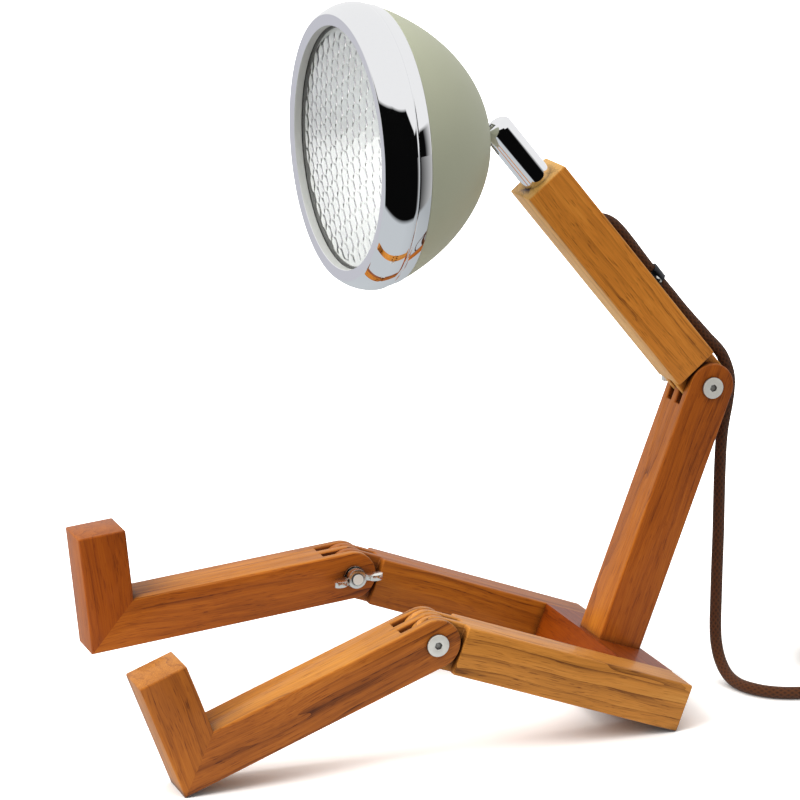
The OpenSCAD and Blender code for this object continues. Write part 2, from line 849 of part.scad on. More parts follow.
module cord_clip() {
    inner = cord_r + 0.1;
    outer = inner + 0.9;
    foot_w = 5;
    wood_y = half - clip_behind;
    color([0.15, 0.15, 0.15]) at_chest() translate([0, clip_behind, clip_height - clip_width / 2])
        linear_extrude(clip_width) difference() {
            union() {
                circle(outer);
                translate([-outer, wood_y]) square([2 * outer, -wood_y]);
                translate([-outer - foot_w, wood_y]) square([2 * (outer + foot_w), 0.9]);
            }
            circle(inner);
            translate([-inner, -section]) square([2 * inner, section]);
            translate([-section, wood_y - section]) square([2 * section, section]);
        }
}

module clip_screws() {
    reach = cord_r + 1 + 2.6;
    color(steel) at_chest() for (s = [-1, 1]) translate([s * reach, half + 0.9 + glue_gap, clip_height])
        rotate([-90, 0, 0]) difference() {
            cylinder(d = 4, h = 1.2);
            translate([0, 0, 0.6]) cube([0.8, 3, 2], center = true);
        }
}

module at_plug(x) {
    translate([x, plug_behind + cord_y, plug_height / 2]) rotate([0, -90, 0]) children();
}

module plug_relief() {
    color([0.12, 0.12, 0.12]) at_plug(plug_x) difference() {
        cylinder(r1 = cord_r + 0.7, r2 = cord_r + 2, h = relief_length);
        translate([0, 0, -1]) cylinder(r = cord_r + 0.05, h = 3);
    }
}

module plug_body() {
    corner_r = 4;
    color([0.12, 0.12, 0.12]) at_plug(plug_x - relief_length) linear_extrude(plug_length) {
        square([plug_height, plug_width - 2 * corner_r], center = true);
        square([plug_height - 2 * corner_r, plug_width], center = true);
        for (a = [-1, 1], b = [-1, 1])
            translate([a * (plug_height / 2 - corner_r), b * (plug_width / 2 - corner_r)]) circle(corner_r);
    }
}

module plug_pins() {
    color(steel) at_plug(plug_x - relief_length - plug_length) for (s = [-1, 1])
        translate([0, s * (plug_width / 2 - 3), 0]) {
            cylinder(d = pin_d, h = pin_length - pin_d / 2);
            translate([0, 0, pin_length - pin_d / 2]) sphere(d = pin_d);
        }
}

seat_rail();
left_thigh();
right_thigh();
rail_dowels();
torso_bar();
torso_bolt();
torso_barrel_nut();
left_shin();
right_shin();
left_foot();
right_foot();
left_heel_dowels();
right_heel_dowels();
left_knee_bolt();
right_knee_bolt();
waist_bolt();
hinge_washers();
left_knee_wing_nut();
right_knee_wing_nut();
waist_wing_nut();
chest_bar();
neck_tube();
neck_set_screw();
ball_stud();
friction_cup();
disc_springs();
spring_collar();
stud_collar();
stud_lock_nut();
head_shell();
bezel_ring();
lens_glass();
lens_gasket();
reflector();
heat_sink();
led_board();
led_emitter();
touch_board();
cord_bush();
inner_lead();
cord_clip();
clip_screws();
cord_back_run();
cord_drop();
cord_coil();
cord_tail();
coil_strap();
plug_relief();
plug_body();
plug_pins();
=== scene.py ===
"""A desk lamp shaped like a seated wooden figure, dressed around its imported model. Metres, +Z up."""
import json
import math

import bmesh
import bpy
from mathutils import Matrix, Vector


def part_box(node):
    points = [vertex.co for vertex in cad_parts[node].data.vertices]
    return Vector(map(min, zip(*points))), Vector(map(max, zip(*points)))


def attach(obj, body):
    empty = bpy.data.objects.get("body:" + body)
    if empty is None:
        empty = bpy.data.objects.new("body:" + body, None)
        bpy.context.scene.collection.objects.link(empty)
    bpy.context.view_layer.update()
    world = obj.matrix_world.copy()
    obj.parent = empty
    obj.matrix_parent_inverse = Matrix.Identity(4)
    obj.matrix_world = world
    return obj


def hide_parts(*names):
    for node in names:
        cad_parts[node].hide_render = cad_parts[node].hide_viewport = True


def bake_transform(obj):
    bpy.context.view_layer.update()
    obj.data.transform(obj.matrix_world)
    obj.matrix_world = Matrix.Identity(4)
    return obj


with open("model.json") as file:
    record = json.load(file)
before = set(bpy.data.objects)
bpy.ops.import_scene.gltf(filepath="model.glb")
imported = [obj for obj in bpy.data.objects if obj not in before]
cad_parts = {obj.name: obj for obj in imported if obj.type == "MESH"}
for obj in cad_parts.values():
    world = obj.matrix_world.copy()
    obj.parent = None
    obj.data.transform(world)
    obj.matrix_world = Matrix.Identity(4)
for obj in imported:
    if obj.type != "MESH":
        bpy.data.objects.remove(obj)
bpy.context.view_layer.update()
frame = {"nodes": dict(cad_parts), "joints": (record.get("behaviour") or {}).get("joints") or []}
MM = 0.001


# ---- camera ----
# A long lens from the figure's left, a little above the table, as in the photograph.
VIEW_AZIMUTH = math.radians(69.2)
VIEW_ELEVATION = math.radians(14.65)
VIEW_DISTANCE = 1502 * MM
VIEW_TARGET = Vector((6.5, -11.4, 149.2)) * MM
IMAGE_WIDTH = 800
FOCAL_PIXELS = 3425
SENSOR_WIDTH = 36

towards_camera = Vector((math.sin(VIEW_AZIMUTH) * math.cos(VIEW_ELEVATION),
                         -math.cos(VIEW_AZIMUTH) * math.cos(VIEW_ELEVATION),
                         math.sin(VIEW_ELEVATION)))
bpy.ops.object.camera_add(location=VIEW_TARGET + towards_camera * VIEW_DISTANCE)
camera = bpy.context.object
camera.name = "photo_camera"
camera.rotation_mode = "QUATERNION"
camera.rotation_quaternion = (-towards_camera).to_track_quat("-Z", "Y")
camera.data.sensor_width = SENSOR_WIDTH
camera.data.lens = SENSOR_WIDTH * FOCAL_PIXELS / IMAGE_WIDTH
camera.data.clip_start = 0.05
camera.data.clip_end = 20
bpy.context.scene.camera = camera


# ---- cord ----
# A two-core lead in a brown braided textile sleeve. It leaves the back of the chest through a bush, passes
# under a clip and hangs behind the waist to the table. Its spare length lies beside the lamp in a coil with a
# strap round it, and the plug is at its end.
CORD_D = 5.5 * MM
CORD_TURNS_R = (35.5, 30, 24.5)
COIL_CENTRE = Vector((9.5, 133, 0))
COIL_LAYER_Z = (3.55, 9.05, 14.55)
# points given in millimetres: behind and above the waist along the chest, then x, y and z
BACK_ROUTE = [(9, 96.4), (11, 94), (12.7, 91.4), (13.8, 88), (14.3, 83), (14.3, 76), (14.1, 69), (13.9, 62),
              (13.9, 56), (13.9, 50), (14, 43), (14, 36), (14.2, 29), (14.6, 21)]
DROP_ROUTE = [(0, 41.9, 162.6), (0, 47.6, 156.6), (0, 50.3, 152.2), (0, 52.2, 147.6), (0, 53.3, 142.6),
              (0, 53.2, 137), (0, 52.5, 131), (0, 51.4, 125), (0, 50.5, 119), (0, 49.9, 111), (0, 49.6, 96),
              (0, 49.6, 80), (0, 49.6, 67), (0, 49.4, 53), (0, 49.3, 39), (0, 49.3, 25), (1.7, 49.2, 16.4),
              (6.4, 49.2, 9.2), (13.6, 49.6, 4.5), (22, 50.8, 2.9), (31, 54, 2.9), (38, 60, 2.9),
              (42.5, 68.5, 2.9), (44.5, 78, 2.9), (45, 90, 2.9), (45, 103, 2.9), (45, 117, 3.1)]
TAIL_ROUTE = [(3, 169, 14), (-4, 170.6, 12), (-11, 172.6, 9.2), (-17, 173.9, 7.2), (-22, 174.3, 6.5)]

joints = {j["name"]: j for j in frame["joints"]}
waist = Vector(joints["waist"]["pos_m"])
chest_axis = Vector(joints["neck_turn"]["axis"]).normalized()
chest_back = Vector((0, chest_axis.z, -chest_axis.y))
# the routes were drawn with the waist here, before the figure was moved to the origin
WAIST_DRAWN_Y = 39.304
route_shift = Vector((0, waist.y - WAIST_DRAWN_Y * MM, 0))


def on_back(behind, above):
    """A point behind and above the waist in the chest's own directions, from millimetres."""
    return waist + chest_back * behind * MM + chest_axis * above * MM


def ease(t):
    """A smooth start and stop between 0 and 1."""
    return t * t * (3 - 2 * t)


def coil_route():
    """Turns from the outside in, up one layer, back out, up again, and away from the top layer's outside."""
    tracks = [(r, 0) for r in CORD_TURNS_R]
    tracks += [(r, 1) for r in reversed(CORD_TURNS_R)]
    tracks += [(CORD_TURNS_R[0], 2)] * 2
    step, leaves_at = 10, 80
    climb_start, climb_end, shift_end = 230, 290, 350
    last_angle = 360 * (len(tracks) - 1) + leaves_at
    points = []
    for angle in range(step, last_angle + 1, step):
        turn, part = divmod(angle, 360)
        radius, layer = tracks[turn]
        next_radius, next_layer = tracks[min(turn + 1, len(tracks) - 1)]
        climb = ease(min(1, max(0, (part - climb_start) / (climb_end - climb_start))))
        shift = ease(min(1, max(0, (part - climb_end) / (shift_end - climb_end))))
        radius += (next_radius - radius) * shift
        height = COIL_LAYER_Z[layer] + (COIL_LAYER_Z[next_layer] - COIL_LAYER_Z[layer]) * climb
        a = math.radians(angle)
        points.append((COIL_CENTRE.x + radius * math.cos(a), COIL_CENTRE.y + radius * math.sin(a), height))
    return points


def smooth_path(points, spacing, steps=12):
    """A Catmull-Rom curve through the points, sampled at an even spacing."""
    dense = []
    ends = [points[0] * 2 - points[1]] + points + [points[-1] * 2 - points[-2]]
    for a, b, c, d in zip(ends, ends[1:], ends[2:], ends[3:]):
        for k in range(steps):
            t = k / steps
            dense.append(0.5 * (2 * b + (c - a) * t + (2 * a - 5 * b + 4 * c - d) * t ** 2
                                + (3 * b - a - 3 * c + d) * t ** 3))
    dense.append(points[-1])
    path = [dense[0]]
    left = spacing
    for a, b in zip(dense, dense[1:]):
        gap = (b - a).length
        while gap >= left:
            a = a + (b - a) * (left / gap)
            gap -= left
            left = spacing
            path.append(a)
        left -= gap
    if (path[-1] - points[-1]).length > spacing * 0.3:
        path.append(points[-1])
    return path


def piece_of(name, mesh):
    """A piece with this mesh, at the origin."""
    piece = bpy.data.objects.new(name, mesh)
    bpy.context.collection.objects.link(piece)
    return piece


def tube(name, path, radius, sides):
    """A round tube along a path, with its own UV map: once round in U, metres along in V."""
    mesh = bpy.data.meshes.new(name)
    heading = (path[1] - path[0]).normalized()
    across = heading.orthogonal().normalized()
    verts, along = [], [0.0]
    for i, p in enumerate(path):
        turned = (path[min(i + 1, len(path) - 1)] - path[max(i - 1, 0)]).normalized()
        across = (across - turned * across.dot(turned)).normalized()
        other = turned.cross(across)
        for k in range(sides):
            a = 2 * math.pi * k / sides
            verts.append(p + (across * math.cos(a) + other * math.sin(a)) * radius)
        if i:
            along.append(along[-1] + (p - path[i - 1]).length)
    faces, uvs = [], []
    for i in range(len(path) - 1):
        for k in range(sides):
            n = (k + 1) % sides
            faces.append((i * sides + k, i * sides + n, (i + 1) * sides + n, (i + 1) * sides + k))
            uvs += [(k / sides, along[i]), ((k + 1) / sides, along[i]),
                    ((k + 1) / sides, along[i + 1]), (k / sides, along[i + 1])]
    last = (len(path) - 1) * sides
    faces += [tuple(reversed(range(sides))), tuple(last + k for k in range(sides))]
    uvs += [(0.5, 0)] * sides + [(0.5, along[-1])] * sides
    mesh.from_pydata(verts, [], faces)
    layer = mesh.uv_layers.new(name="round_and_along")
    for loop, uv in zip(layer.data, uvs):
        loop.uv = uv
    mesh.shade_smooth()
    return piece_of(name, mesh)


def new_material(name):
    """A material with a node tree; returns the material, its tree and its Principled shader."""
    made = bpy.data.materials.new(name)
    made.use_nodes = True
    return made, made.node_tree, made.node_tree.nodes["Principled BSDF"]


def add(tree, kind, links=None, values=None, **settings):
    """Adds a node; links maps an input to an output socket, values maps an input to a number or colour."""
    made = tree.nodes.new("ShaderNode" + kind)
    for key, value in settings.items():
        setattr(made, key, value)
    for key, value in (values or {}).items():
        made.inputs[key].default_value = value
    for key, socket in (links or {}).items():
        tree.links.new(socket, made.inputs[key])
    return made


def math_node(tree, operation, first, second=None, third=None):
    made = tree.nodes.new("ShaderNodeMath")
    made.operation = operation
    for i, value in enumerate((first, second, third)):
        if value is None:
            continue
        if isinstance(value, (int, float)):
            made.inputs[i].default_value = value
        else:
            tree.links.new(value, made.inputs[i])
    return made.outputs[0]


def ramp(tree, factor, stops):
    """A colour ramp; stops are (position, colour)."""
    made = add(tree, "ValToRGB", {"Fac": factor})
    band = made.color_ramp
    band.elements[0].position, band.elements[0].color = stops[0][0], (*stops[0][1], 1)
    band.elements[1].position, band.elements[1].color = stops[-1][0], (*stops[-1][1], 1)
    for position, colour in stops[1:-1]:
        band.elements.new(position).color = (*colour, 1)
    return made.outputs["Color"]


def bump(tree, shader, height, distance, strength=1.0):
    made = add(tree, "Bump", {"Height": height}, {"Distance": distance, "Strength": strength})
    tree.links.new(made.outputs["Normal"], shader.inputs["Normal"])


def braid(name, dark, light, yarns, pitch):
    """A braided sleeve: two sets of yarns wound the opposite way, over and under each other, the grooves
    between their crowns darkened by painted shade.
    """
    made, tree, shader = new_material(name)
    uv = add(tree, "UVMap", uv_map="round_and_along").outputs["UV"]
    split = add(tree, "SeparateXYZ", {"Vector": uv})
    around = math_node(tree, "MULTIPLY", split.outputs["X"], yarns)
    along = math_node(tree, "MULTIPLY", split.outputs["Y"], 1 / pitch)
    one = math_node(tree, "FRACT", math_node(tree, "ADD", around, along))
    two = math_node(tree, "FRACT", math_node(tree, "SUBTRACT", around, along))
    crown_one = math_node(tree, "PINGPONG", math_node(tree, "SUBTRACT", one, 0.5), 0.5)
    crown_two = math_node(tree, "PINGPONG", math_node(tree, "SUBTRACT", two, 0.5), 0.5)
    height = math_node(tree, "MAXIMUM", crown_one, crown_two)
    fibre = add(tree, "TexNoise", {"Vector": uv}, {"Scale": 900.0, "Detail": 2.0}, noise_dimensions="2D")
    mixed = math_node(tree, "MULTIPLY_ADD", fibre.outputs["Fac"], 0.5, height)
    # the fibre noise is the yarn's own tone; the darkening towards the grooves between the crowns is painted
    # shade
    tree.links.new(ramp(tree, mixed, [(0.3, dark), (0.85, light)]), shader.inputs["Base Color"])
    shader.inputs["Roughness"].default_value = 0.75
    shader.inputs["Sheen Weight"].default_value = 0.05
    shader.inputs["Sheen Roughness"].default_value = 0.4
    bump(tree, shader, mixed, 0.0004, 0.8)
    return made


# the darker colour lies in the grooves between the yarns, partly as painted shade
BRAID_DARK, BRAID_LIGHT = (0.035, 0.010, 0.002), (0.15, 0.044, 0.008)
BRAID_YARNS = 8
BRAID_PITCH = 3.2 * MM
STATION_GAP = 2 * MM
CORD_SIDES = 16
cord_points = ([on_back(*p) for p in BACK_ROUTE]
               + [Vector(p) * MM + route_shift for p in DROP_ROUTE + coil_route() + TAIL_ROUTE])
cord_path = smooth_path(cord_points, STATION_GAP)
textile_cord = tube("textile_cord", cord_path, CORD_D / 2, CORD_SIDES)
textile_cord.data.materials.append(braid("brown_braid", BRAID_DARK, BRAID_LIGHT, BRAID_YARNS, BRAID_PITCH))
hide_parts("cord_back_run", "cord_drop", "cord_coil", "cord_tail")
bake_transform(textile_cord)


# ---- wooden bars ----
# Square hardwood bars, stained brown under a thin clear lacquer, their edges rounded over with a router. The
# rail is dowelled between the thighs, the torso is bolted to the rail, and the heels are mitred and glued.
# The glued joints stay sharp, and the hinge leaves and tongues are cut on the bar ends.
SECTION = 22 * MM
RAIL_DEPTH = 28 * MM
THIGH_LENGTH = 126.5 * MM
TORSO_LENGTH = 125 * MM
CHEST_LENGTH = 129.5 * MM
SEAT_TILT = math.radians(20.5)
SHIN_DROP = {"left": math.radians(20.588), "right": math.radians(5.5)}
LEAD_EXIT_TILT = math.radians(40)
EDGE_R = 0.8 * MM
GLUE_TOLERANCE = 0.02 * MM
RIM_TOLERANCE = 0.12 * MM
MERGE_GAP = 0.002 * MM

left_knee = Vector(joints["left_knee"]["pos_m"])
right_knee = Vector(joints["right_knee"]["pos_m"])
rail_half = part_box("seat_rail")[1].x
across = Vector((1, 0, 0))
thigh_along = Vector((0, -math.cos(SEAT_TILT), math.sin(SEAT_TILT)))
seat_up = Vector((0, math.sin(SEAT_TILT), math.cos(SEAT_TILT)))
thigh_corner = left_knee - thigh_along * THIGH_LENGTH - seat_up * SECTION / 2
torso_foot = waist - seat_up * TORSO_LENGTH
chest_top = waist + chest_axis * CHEST_LENGTH
lead_exit = (chest_back * math.sin(LEAD_EXIT_TILT) - chest_axis * math.cos(LEAD_EXIT_TILT)).normalized()
# each bore in the bars: a point on its axis, its direction, and its radius in millimetres
HINGE_BORE_R, NECK_BORE_R, LEAD_BORE_R, BUSH_BORE_R = 2.55, 7.05, 3.3, 4.3
SET_SCREW_BORE_R, BARREL_NUT_BORE_R, TORSO_BOLT_BORE_R, BOLT_HEAD_BORE_R = 2, 5.1, 3.1, 5.4
BUSH_ABOVE_WAIST, SET_SCREW_ABOVE_WAIST, BARREL_NUT_UP = 107, 120.5, 22 * MM
bores = [(left_knee, across, HINGE_BORE_R), (right_knee, across, HINGE_BORE_R),
         (waist, across, HINGE_BORE_R), (chest_top, chest_axis, NECK_BORE_R),
         (on_back(0, BUSH_ABOVE_WAIST), lead_exit, LEAD_BORE_R),
         (on_back(0, BUSH_ABOVE_WAIST), lead_exit, BUSH_BORE_R),
         (on_back(0, SET_SCREW_ABOVE_WAIST), chest_back, SET_SCREW_BORE_R),
         (torso_foot + seat_up * BARREL_NUT_UP, across, BARREL_NUT_BORE_R),
         (torso_foot, seat_up, TORSO_BOLT_BORE_R), (torso_foot, seat_up, BOLT_HEAD_BORE_R)]


def on_bore(a, b):
    """True for an edge on the rim of a drilled hole, which stays crisp."""
    for point, axis, bore_r in bores:
        off = [((p - point) - axis * (p - point).dot(axis)).length - bore_r * MM for p in (a, b)]
        if max(map(abs, off)) < RIM_TOLERANCE:
            return True
    return False


def edit_alone(piece):
    """Selects this piece and nothing else, and opens it in edit mode with its whole mesh selected."""
    bpy.ops.object.select_all(action="DESELECT")
    piece.select_set(True)
    bpy.context.view_layer.objects.active = piece
    bpy.ops.object.mode_set(mode="EDIT")
    bpy.ops.mesh.select_all(action="SELECT")


def rounded(node, keep_sharp=None, cut=None, radius=EDGE_R, segments=3):
    """A copy of a CAD node with its edges rounded over, except those that keep_sharp(a, b) names."""
    piece = piece_of(node + "_rounded", frame["nodes"][node].data.copy())
    edit_alone(piece)
    bpy.ops.mesh.remove_doubles(threshold=MERGE_GAP)
    bpy.ops.mesh.dissolve_limited(angle_limit=math.radians(0.5))
    if cut:
        bpy.ops.mesh.select_all(action="SELECT")
        bpy.ops.mesh.bisect(plane_co=cut[0], plane_no=cut[1])
    bpy.ops.mesh.select_mode(type="EDGE")
    bpy.ops.mesh.select_all(action="DESELECT")
    shape = bmesh.from_edit_mesh(piece.data)
    for edge in shape.edges:
        sharp = len(edge.link_faces) == 2 and edge.calc_face_angle() > math.radians(30)
        a, b = (v.co.copy() for v in edge.verts)
        kept = keep_sharp is not None and keep_sharp(a, b)
        edge.select = sharp and not kept and not on_bore(a, b)
    bmesh.update_edit_mesh(piece.data)
    bpy.ops.mesh.bevel(offset=radius, offset_type="OFFSET", segments=segments, profile=0.5,
                       clamp_overlap=True)
    bpy.ops.object.mode_set(mode="OBJECT")
    bpy.ops.object.shade_smooth_by_angle(angle=math.radians(32))
    piece.data.materials.clear()
    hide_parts(node)
    return piece


# stains, as stops from the late wood to the palest early wood
GOLDEN = [(0.1, (0.17, 0.05, 0.006)), (0.4, (0.46, 0.158, 0.02)), (0.62, (0.62, 0.222, 0.03)),
          (0.9, (0.74, 0.31, 0.055))]
RUSSET = [(0.1, (0.085, 0.017, 0.003)), (0.4, (0.29, 0.07, 0.008)), (0.62, (0.41, 0.108, 0.012)),
          (0.9, (0.53, 0.165, 0.022))]
AMBER = [(0.1, (0.09, 0.022, 0.004)), (0.4, (0.30, 0.084, 0.012)), (0.62, (0.44, 0.135, 0.019)),
         (0.9, (0.58, 0.205, 0.035))]
# the colour of the painted shade in the bars' corners, slots and hinge gaps
CORNER_SHADE = (0.05, 0.011, 0.003)
RING_SPACING = 5.0 * MM


def remap(tree, value, low, high, start=0.0, end=1.0):
    """Carries a value from between low and high to between start and end, and stops at both."""
    return add(tree, "MapRange", {"Value": value},
               {"From Min": low, "From Max": high, "To Min": start, "To Max": end}).outputs[0]


def hardwood(name, along, ring_centre, tones, figure=1.0, stain=(1, 1, 1), sheen_tint=(1, 1, 1)):
    """Grain along a direction: uneven growth lines about a pith outside the bar, pores, and painted shade in
    the corners. Stain tints the whole bar, and the last tint is a painted sheen on the faces that do not face
    sideways."""
    tones = [(at, tuple(c * k for c, k in zip(colour, stain))) for at, colour in tones]
    made, tree, shader = new_material(name)
    place = add(tree, "TexCoord").outputs["Object"]
    if abs(along.x) > 0.5:
        turn = (0, 0, math.pi / 2)
    else:
        turn = (-math.atan2(along.z, along.y), 0, 0)
    lined_up = add(tree, "Mapping", {"Vector": place}, {"Rotation": turn, "Location": ring_centre}).outputs[0]

    def field(scale, detail=2.0, vector=lined_up):
        stretched = add(tree, "Mapping", {"Vector": vector}, {"Scale": scale}).outputs[0]
        return add(tree, "TexNoise", {"Vector": stretched}, {"Scale": 1.0, "Detail": detail})

    wander = add(tree, "VectorMath", {0: field((26, 9, 26)).outputs["Color"]}, {1: (0.5, 0.5, 0.5)},
                 operation="SUBTRACT")
    wander = add(tree, "VectorMath", {0: wander.outputs[0]}, {"Scale": 0.012}, operation="SCALE")
    bent = add(tree, "VectorMath", {0: lined_up, 1: wander.outputs[0]}, operation="ADD").outputs[0]
    split = add(tree, "SeparateXYZ", {"Vector": bent})
    radius = math_node(tree, "SQRT", math_node(
        tree, "ADD", math_node(tree, "POWER", split.outputs["X"], 2.0),
        math_node(tree, "POWER", split.outputs["Z"], 2.0)))
    years = math_node(tree, "MULTIPLY", radius, 1 / RING_SPACING)
    uneven = math_node(tree, "MULTIPLY_ADD", field((170, 3, 170), 1.0).outputs["Fac"], 1.6, years)
    late = math_node(tree, "POWER", math_node(tree, "FRACT", uneven), 5.0)
    strength = remap(tree, field((60, 11, 60)).outputs["Fac"], 0.38, 0.66, 0.08, 0.5 * figure)
    fibre = field((1700, 30, 1700), 3.0, bent).outputs["Fac"]
    streak = field((210, 7, 210), 3.0, bent).outputs["Fac"]
    cloud = field((34, 14, 34)).outputs["Fac"]
    pores = remap(tree, field((2300, 110, 2300), 1.0, bent).outputs["Fac"], 0.6, 0.7)
    tone = math_node(tree, "MULTIPLY_ADD", math_node(tree, "MULTIPLY", late, strength), -1.0, 0.62)
    for noise, amount in ((fibre, 0.5), (streak, 0.62 * figure), (cloud, 0.5)):
        tone = math_node(tree, "MULTIPLY_ADD", math_node(tree, "SUBTRACT", noise, 0.5), amount, tone)
    tone = math_node(tree, "MULTIPLY_ADD", pores, -0.22, tone)
    # painted sheen: the faces that do not face sideways take the last tint, brightened as a reflection of the
    # white table and room would brighten them
    sideways = add(tree, "SeparateXYZ", {"Vector": add(tree, "TexCoord").outputs["Normal"]}).outputs["X"]
    sheen_mask = math_node(tree, "MULTIPLY_ADD", math_node(tree, "ABSOLUTE", sideways), -1.0, 1.0)
    lighter = add(tree, "Mix", {"Factor": sheen_mask}, data_type="RGBA", blend_type="MULTIPLY")
    tree.links.new(ramp(tree, tone, tones), lighter.inputs["A"])
    lighter.inputs["B"].default_value = (*sheen_tint, 1)
    # painted shade: the colour darkens where other surfaces close in, in corners, slots and hinge gaps
    corner = add(tree, "AmbientOcclusion", values={"Distance": 0.006}, samples=6)
    unshaded = remap(tree, corner.outputs["AO"], 0.25, 0.8)
    shaded = add(tree, "Mix", {"Factor": unshaded}, data_type="RGBA", blend_type="MIX")
    shaded.inputs["A"].default_value = (*CORNER_SHADE, 1)
    tree.links.new(lighter.outputs["Result"], shaded.inputs["B"])
    tree.links.new(shaded.outputs["Result"], shader.inputs["Base Color"])
    shader.inputs["Roughness"].default_value = 0.5
    shader.inputs["Specular IOR Level"].default_value = 0.2
    shader.inputs["Coat Weight"].default_value = 0.18
    shader.inputs["Coat Roughness"].default_value = 0.12
    shader.inputs["Coat IOR"].default_value = 1.45
    height = math_node(tree, "MULTIPLY_ADD", pores, -0.7, fibre)
    bump(tree, shader, height, 0.00005, 0.5)
    return made


def glued_to(node):
    """A test for edges with both ends on corners of the other node, where the two are glued."""
    corners = {tuple(round(c / GLUE_TOLERANCE) for c in v.co) for v in frame["nodes"][node].data.vertices}
    steps = [(i, j, k) for i in (-1, 0, 1) for j in (-1, 0, 1) for k in (-1, 0, 1)]
    near = {(x + i, y + j, z + k) for x, y, z in corners for i, j, k in steps}

    def keep(a, b):
        return all(tuple(round(c / GLUE_TOLERANCE) for c in p) in near for p in (a, b))
    return keep


def rail_ends(a, b):
    """The rail's edges where the thighs are glued on."""
    return all(abs(abs(p.x) - rail_half) < GLUE_TOLERANCE for p in (a, b))


def along_rail(a, b):
    """The thigh's inner edges where the rail is glued on."""
    depths = [(p - thigh_corner).dot(thigh_along) for p in (a, b)]
    inner = all(abs(abs(p.x) - rail_half) < GLUE_TOLERANCE for p in (a, b))
    return inner and all(depth < RAIL_DEPTH + GLUE_TOLERANCE for depth in depths)


def torso_base(a, b):
    """The torso's edges where it stands on the rail."""
    return all(abs((p - torso_foot).dot(seat_up)) < GLUE_TOLERANCE for p in (a, b))


def wooden_bar(node, keep_sharp, grain, body, cut=None):
    """A bar with its edges rounded over, in its own grain, riding on a body."""
    bar = rounded(node, keep_sharp, cut)
    bar.data.materials.append(grain)
    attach(bar, body)


rail_plane = (thigh_corner + thigh_along * RAIL_DEPTH, thigh_along)
rail_wood = hardwood("rail_wood", across, (0.02, 0.013, -0.031), RUSSET, 0.6, (0.6, 0.4, 0.12))
wooden_bar("seat_rail", rail_ends, rail_wood, "root")
for side, pith, tones, stain in (("left", (0.012, 0.05, -0.036), GOLDEN, (0.95, 1.03, 1.15)),
                                 ("right", (-0.02, 0.02, -0.03), RUSSET, (0.92, 0.98, 0.58))):
    thigh_wood = hardwood(side + "_thigh_wood", thigh_along, pith, tones, 1.0, stain)
    wooden_bar(side + "_thigh", along_rail, thigh_wood, "root", rail_plane)
# the last tint given to the torso, the chest, the shins and the feet is a painted sheen on their faces that
# do not face sideways
torso_wood = hardwood("torso_wood", seat_up, (0.012, -0.02, 0.045), RUSSET, 0.55, (1.02, 0.92, 0.55),
                      (1.02, 1.25, 1.1))
wooden_bar("torso_bar", torso_base, torso_wood, "root")
chest_wood = hardwood("chest_wood", chest_axis, (0.03, 0.03, -0.02), GOLDEN, 0.6, (1.2, 1.15, 0.95),
                      (1.12, 1.8, 4.0))
wooden_bar("chest_bar", None, chest_wood, "chest")
for side, body, pith_x, shin_stain, foot_stain in (
        ("left", "left_lower_leg", 0.015, (1.03, 0.95, 0.7), (1.04, 1.15, 1.05)),
        ("right", "right_lower_leg", -0.015, (0.94, 0.76, 0.34), (0.78, 0.61, 0.2))):
    drop = SHIN_DROP[side]
    shin_along = Vector((0, -math.cos(drop), -math.sin(drop)))
    foot_along = Vector((0, -math.sin(drop), math.cos(drop)))
    shin_wood = hardwood(side + "_shin_wood", shin_along, (pith_x, 0.01, -0.03), AMBER, 1.0, shin_stain,
                         (1.12, 1.5, 1.4))
    foot_wood = hardwood(side + "_foot_wood", foot_along, (-0.012, 0.02, 0.04), RUSSET, 0.6, foot_stain,
                         (1.05, 1.3, 1.5))
    wooden_bar(side + "_shin", glued_to(side + "_foot"), shin_wood, body)
    wooden_bar(side + "_foot", glued_to(side + "_shin"), foot_wood, body)


# ---- hinge bolts, washers and wing nuts ----
# Steel: a flat-headed bolt with a hexagon socket through each hinge, plated in satin nickel, and on its end a
# plain washer and a wing nut in bright nickel. Their edges are broken by tumbling before they are plated.
BOLT_EDGE, WASHER_EDGE, WING_EDGE = 0.3 * MM, 0.15 * MM, 0.5 * MM


def dyed(tree, colour, level):
    """A fixed colour times a level."""
    return add(tree, "VectorMath", {"Scale": level}, {0: colour}, operation="SCALE").outputs[0]


def plated(name, colour, roughness, wear=0.06, shade_depth=None, metallic=1.0):
    """Plated or bare metal with small changes of tone and gloss, and painted shade inside recesses up to the
    given depth.
    """
    made, tree, shader = new_material(name)
    place = add(tree, "TexCoord").outputs["Object"]
    cloud = add(tree, "TexNoise", {"Vector": place}, {"Scale": 500.0, "Detail": 3.0}).outputs["Fac"]
    tone = remap(tree, cloud, 0.0, 1.0, 1 - wear, 1 + wear * 0.5)
    if shade_depth:
        inside = add(tree, "AmbientOcclusion", values={"Distance": shade_depth}, samples=8)
        tone = math_node(tree, "MULTIPLY", tone, remap(tree, inside.outputs["AO"], 0.6, 0.95, 0.02, 1.0))
    gloss = remap(tree, cloud, 0.0, 1.0, roughness * 0.8, roughness * 1.3)
    tree.links.new(dyed(tree, colour, tone), shader.inputs["Base Color"])
    tree.links.new(gloss, shader.inputs["Roughness"])
    shader.inputs["Metallic"].default_value = metallic
    return made


def edged(node, radius, finish, body):
    """A copy of a CAD node with its edges broken, in one finish, riding on a body."""
    piece = rounded(node, radius=radius, segments=2)
    piece.data.materials.append(finish)
    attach(piece, body)


# both platings paint shade into their sockets and the gaps round the hubs, from how closed in each spot is
nickel = plated("nickel_plate", (0.9, 0.88, 0.82), 0.2, shade_depth=0.0015)
satin_nickel = plated("satin_nickel", (0.95, 0.93, 0.85), 0.42, shade_depth=0.003, metallic=0.45)
for hinge in ("left_knee", "right_knee", "waist"):
    edged(hinge + "_bolt", BOLT_EDGE, satin_nickel, "root")
edged("hinge_washers", WASHER_EDGE, nickel, "root")
for hinge in ("left_knee", "right_knee", "waist"):
    edged(hinge + "_wing_nut", WING_EDGE, nickel, hinge + "_nut")


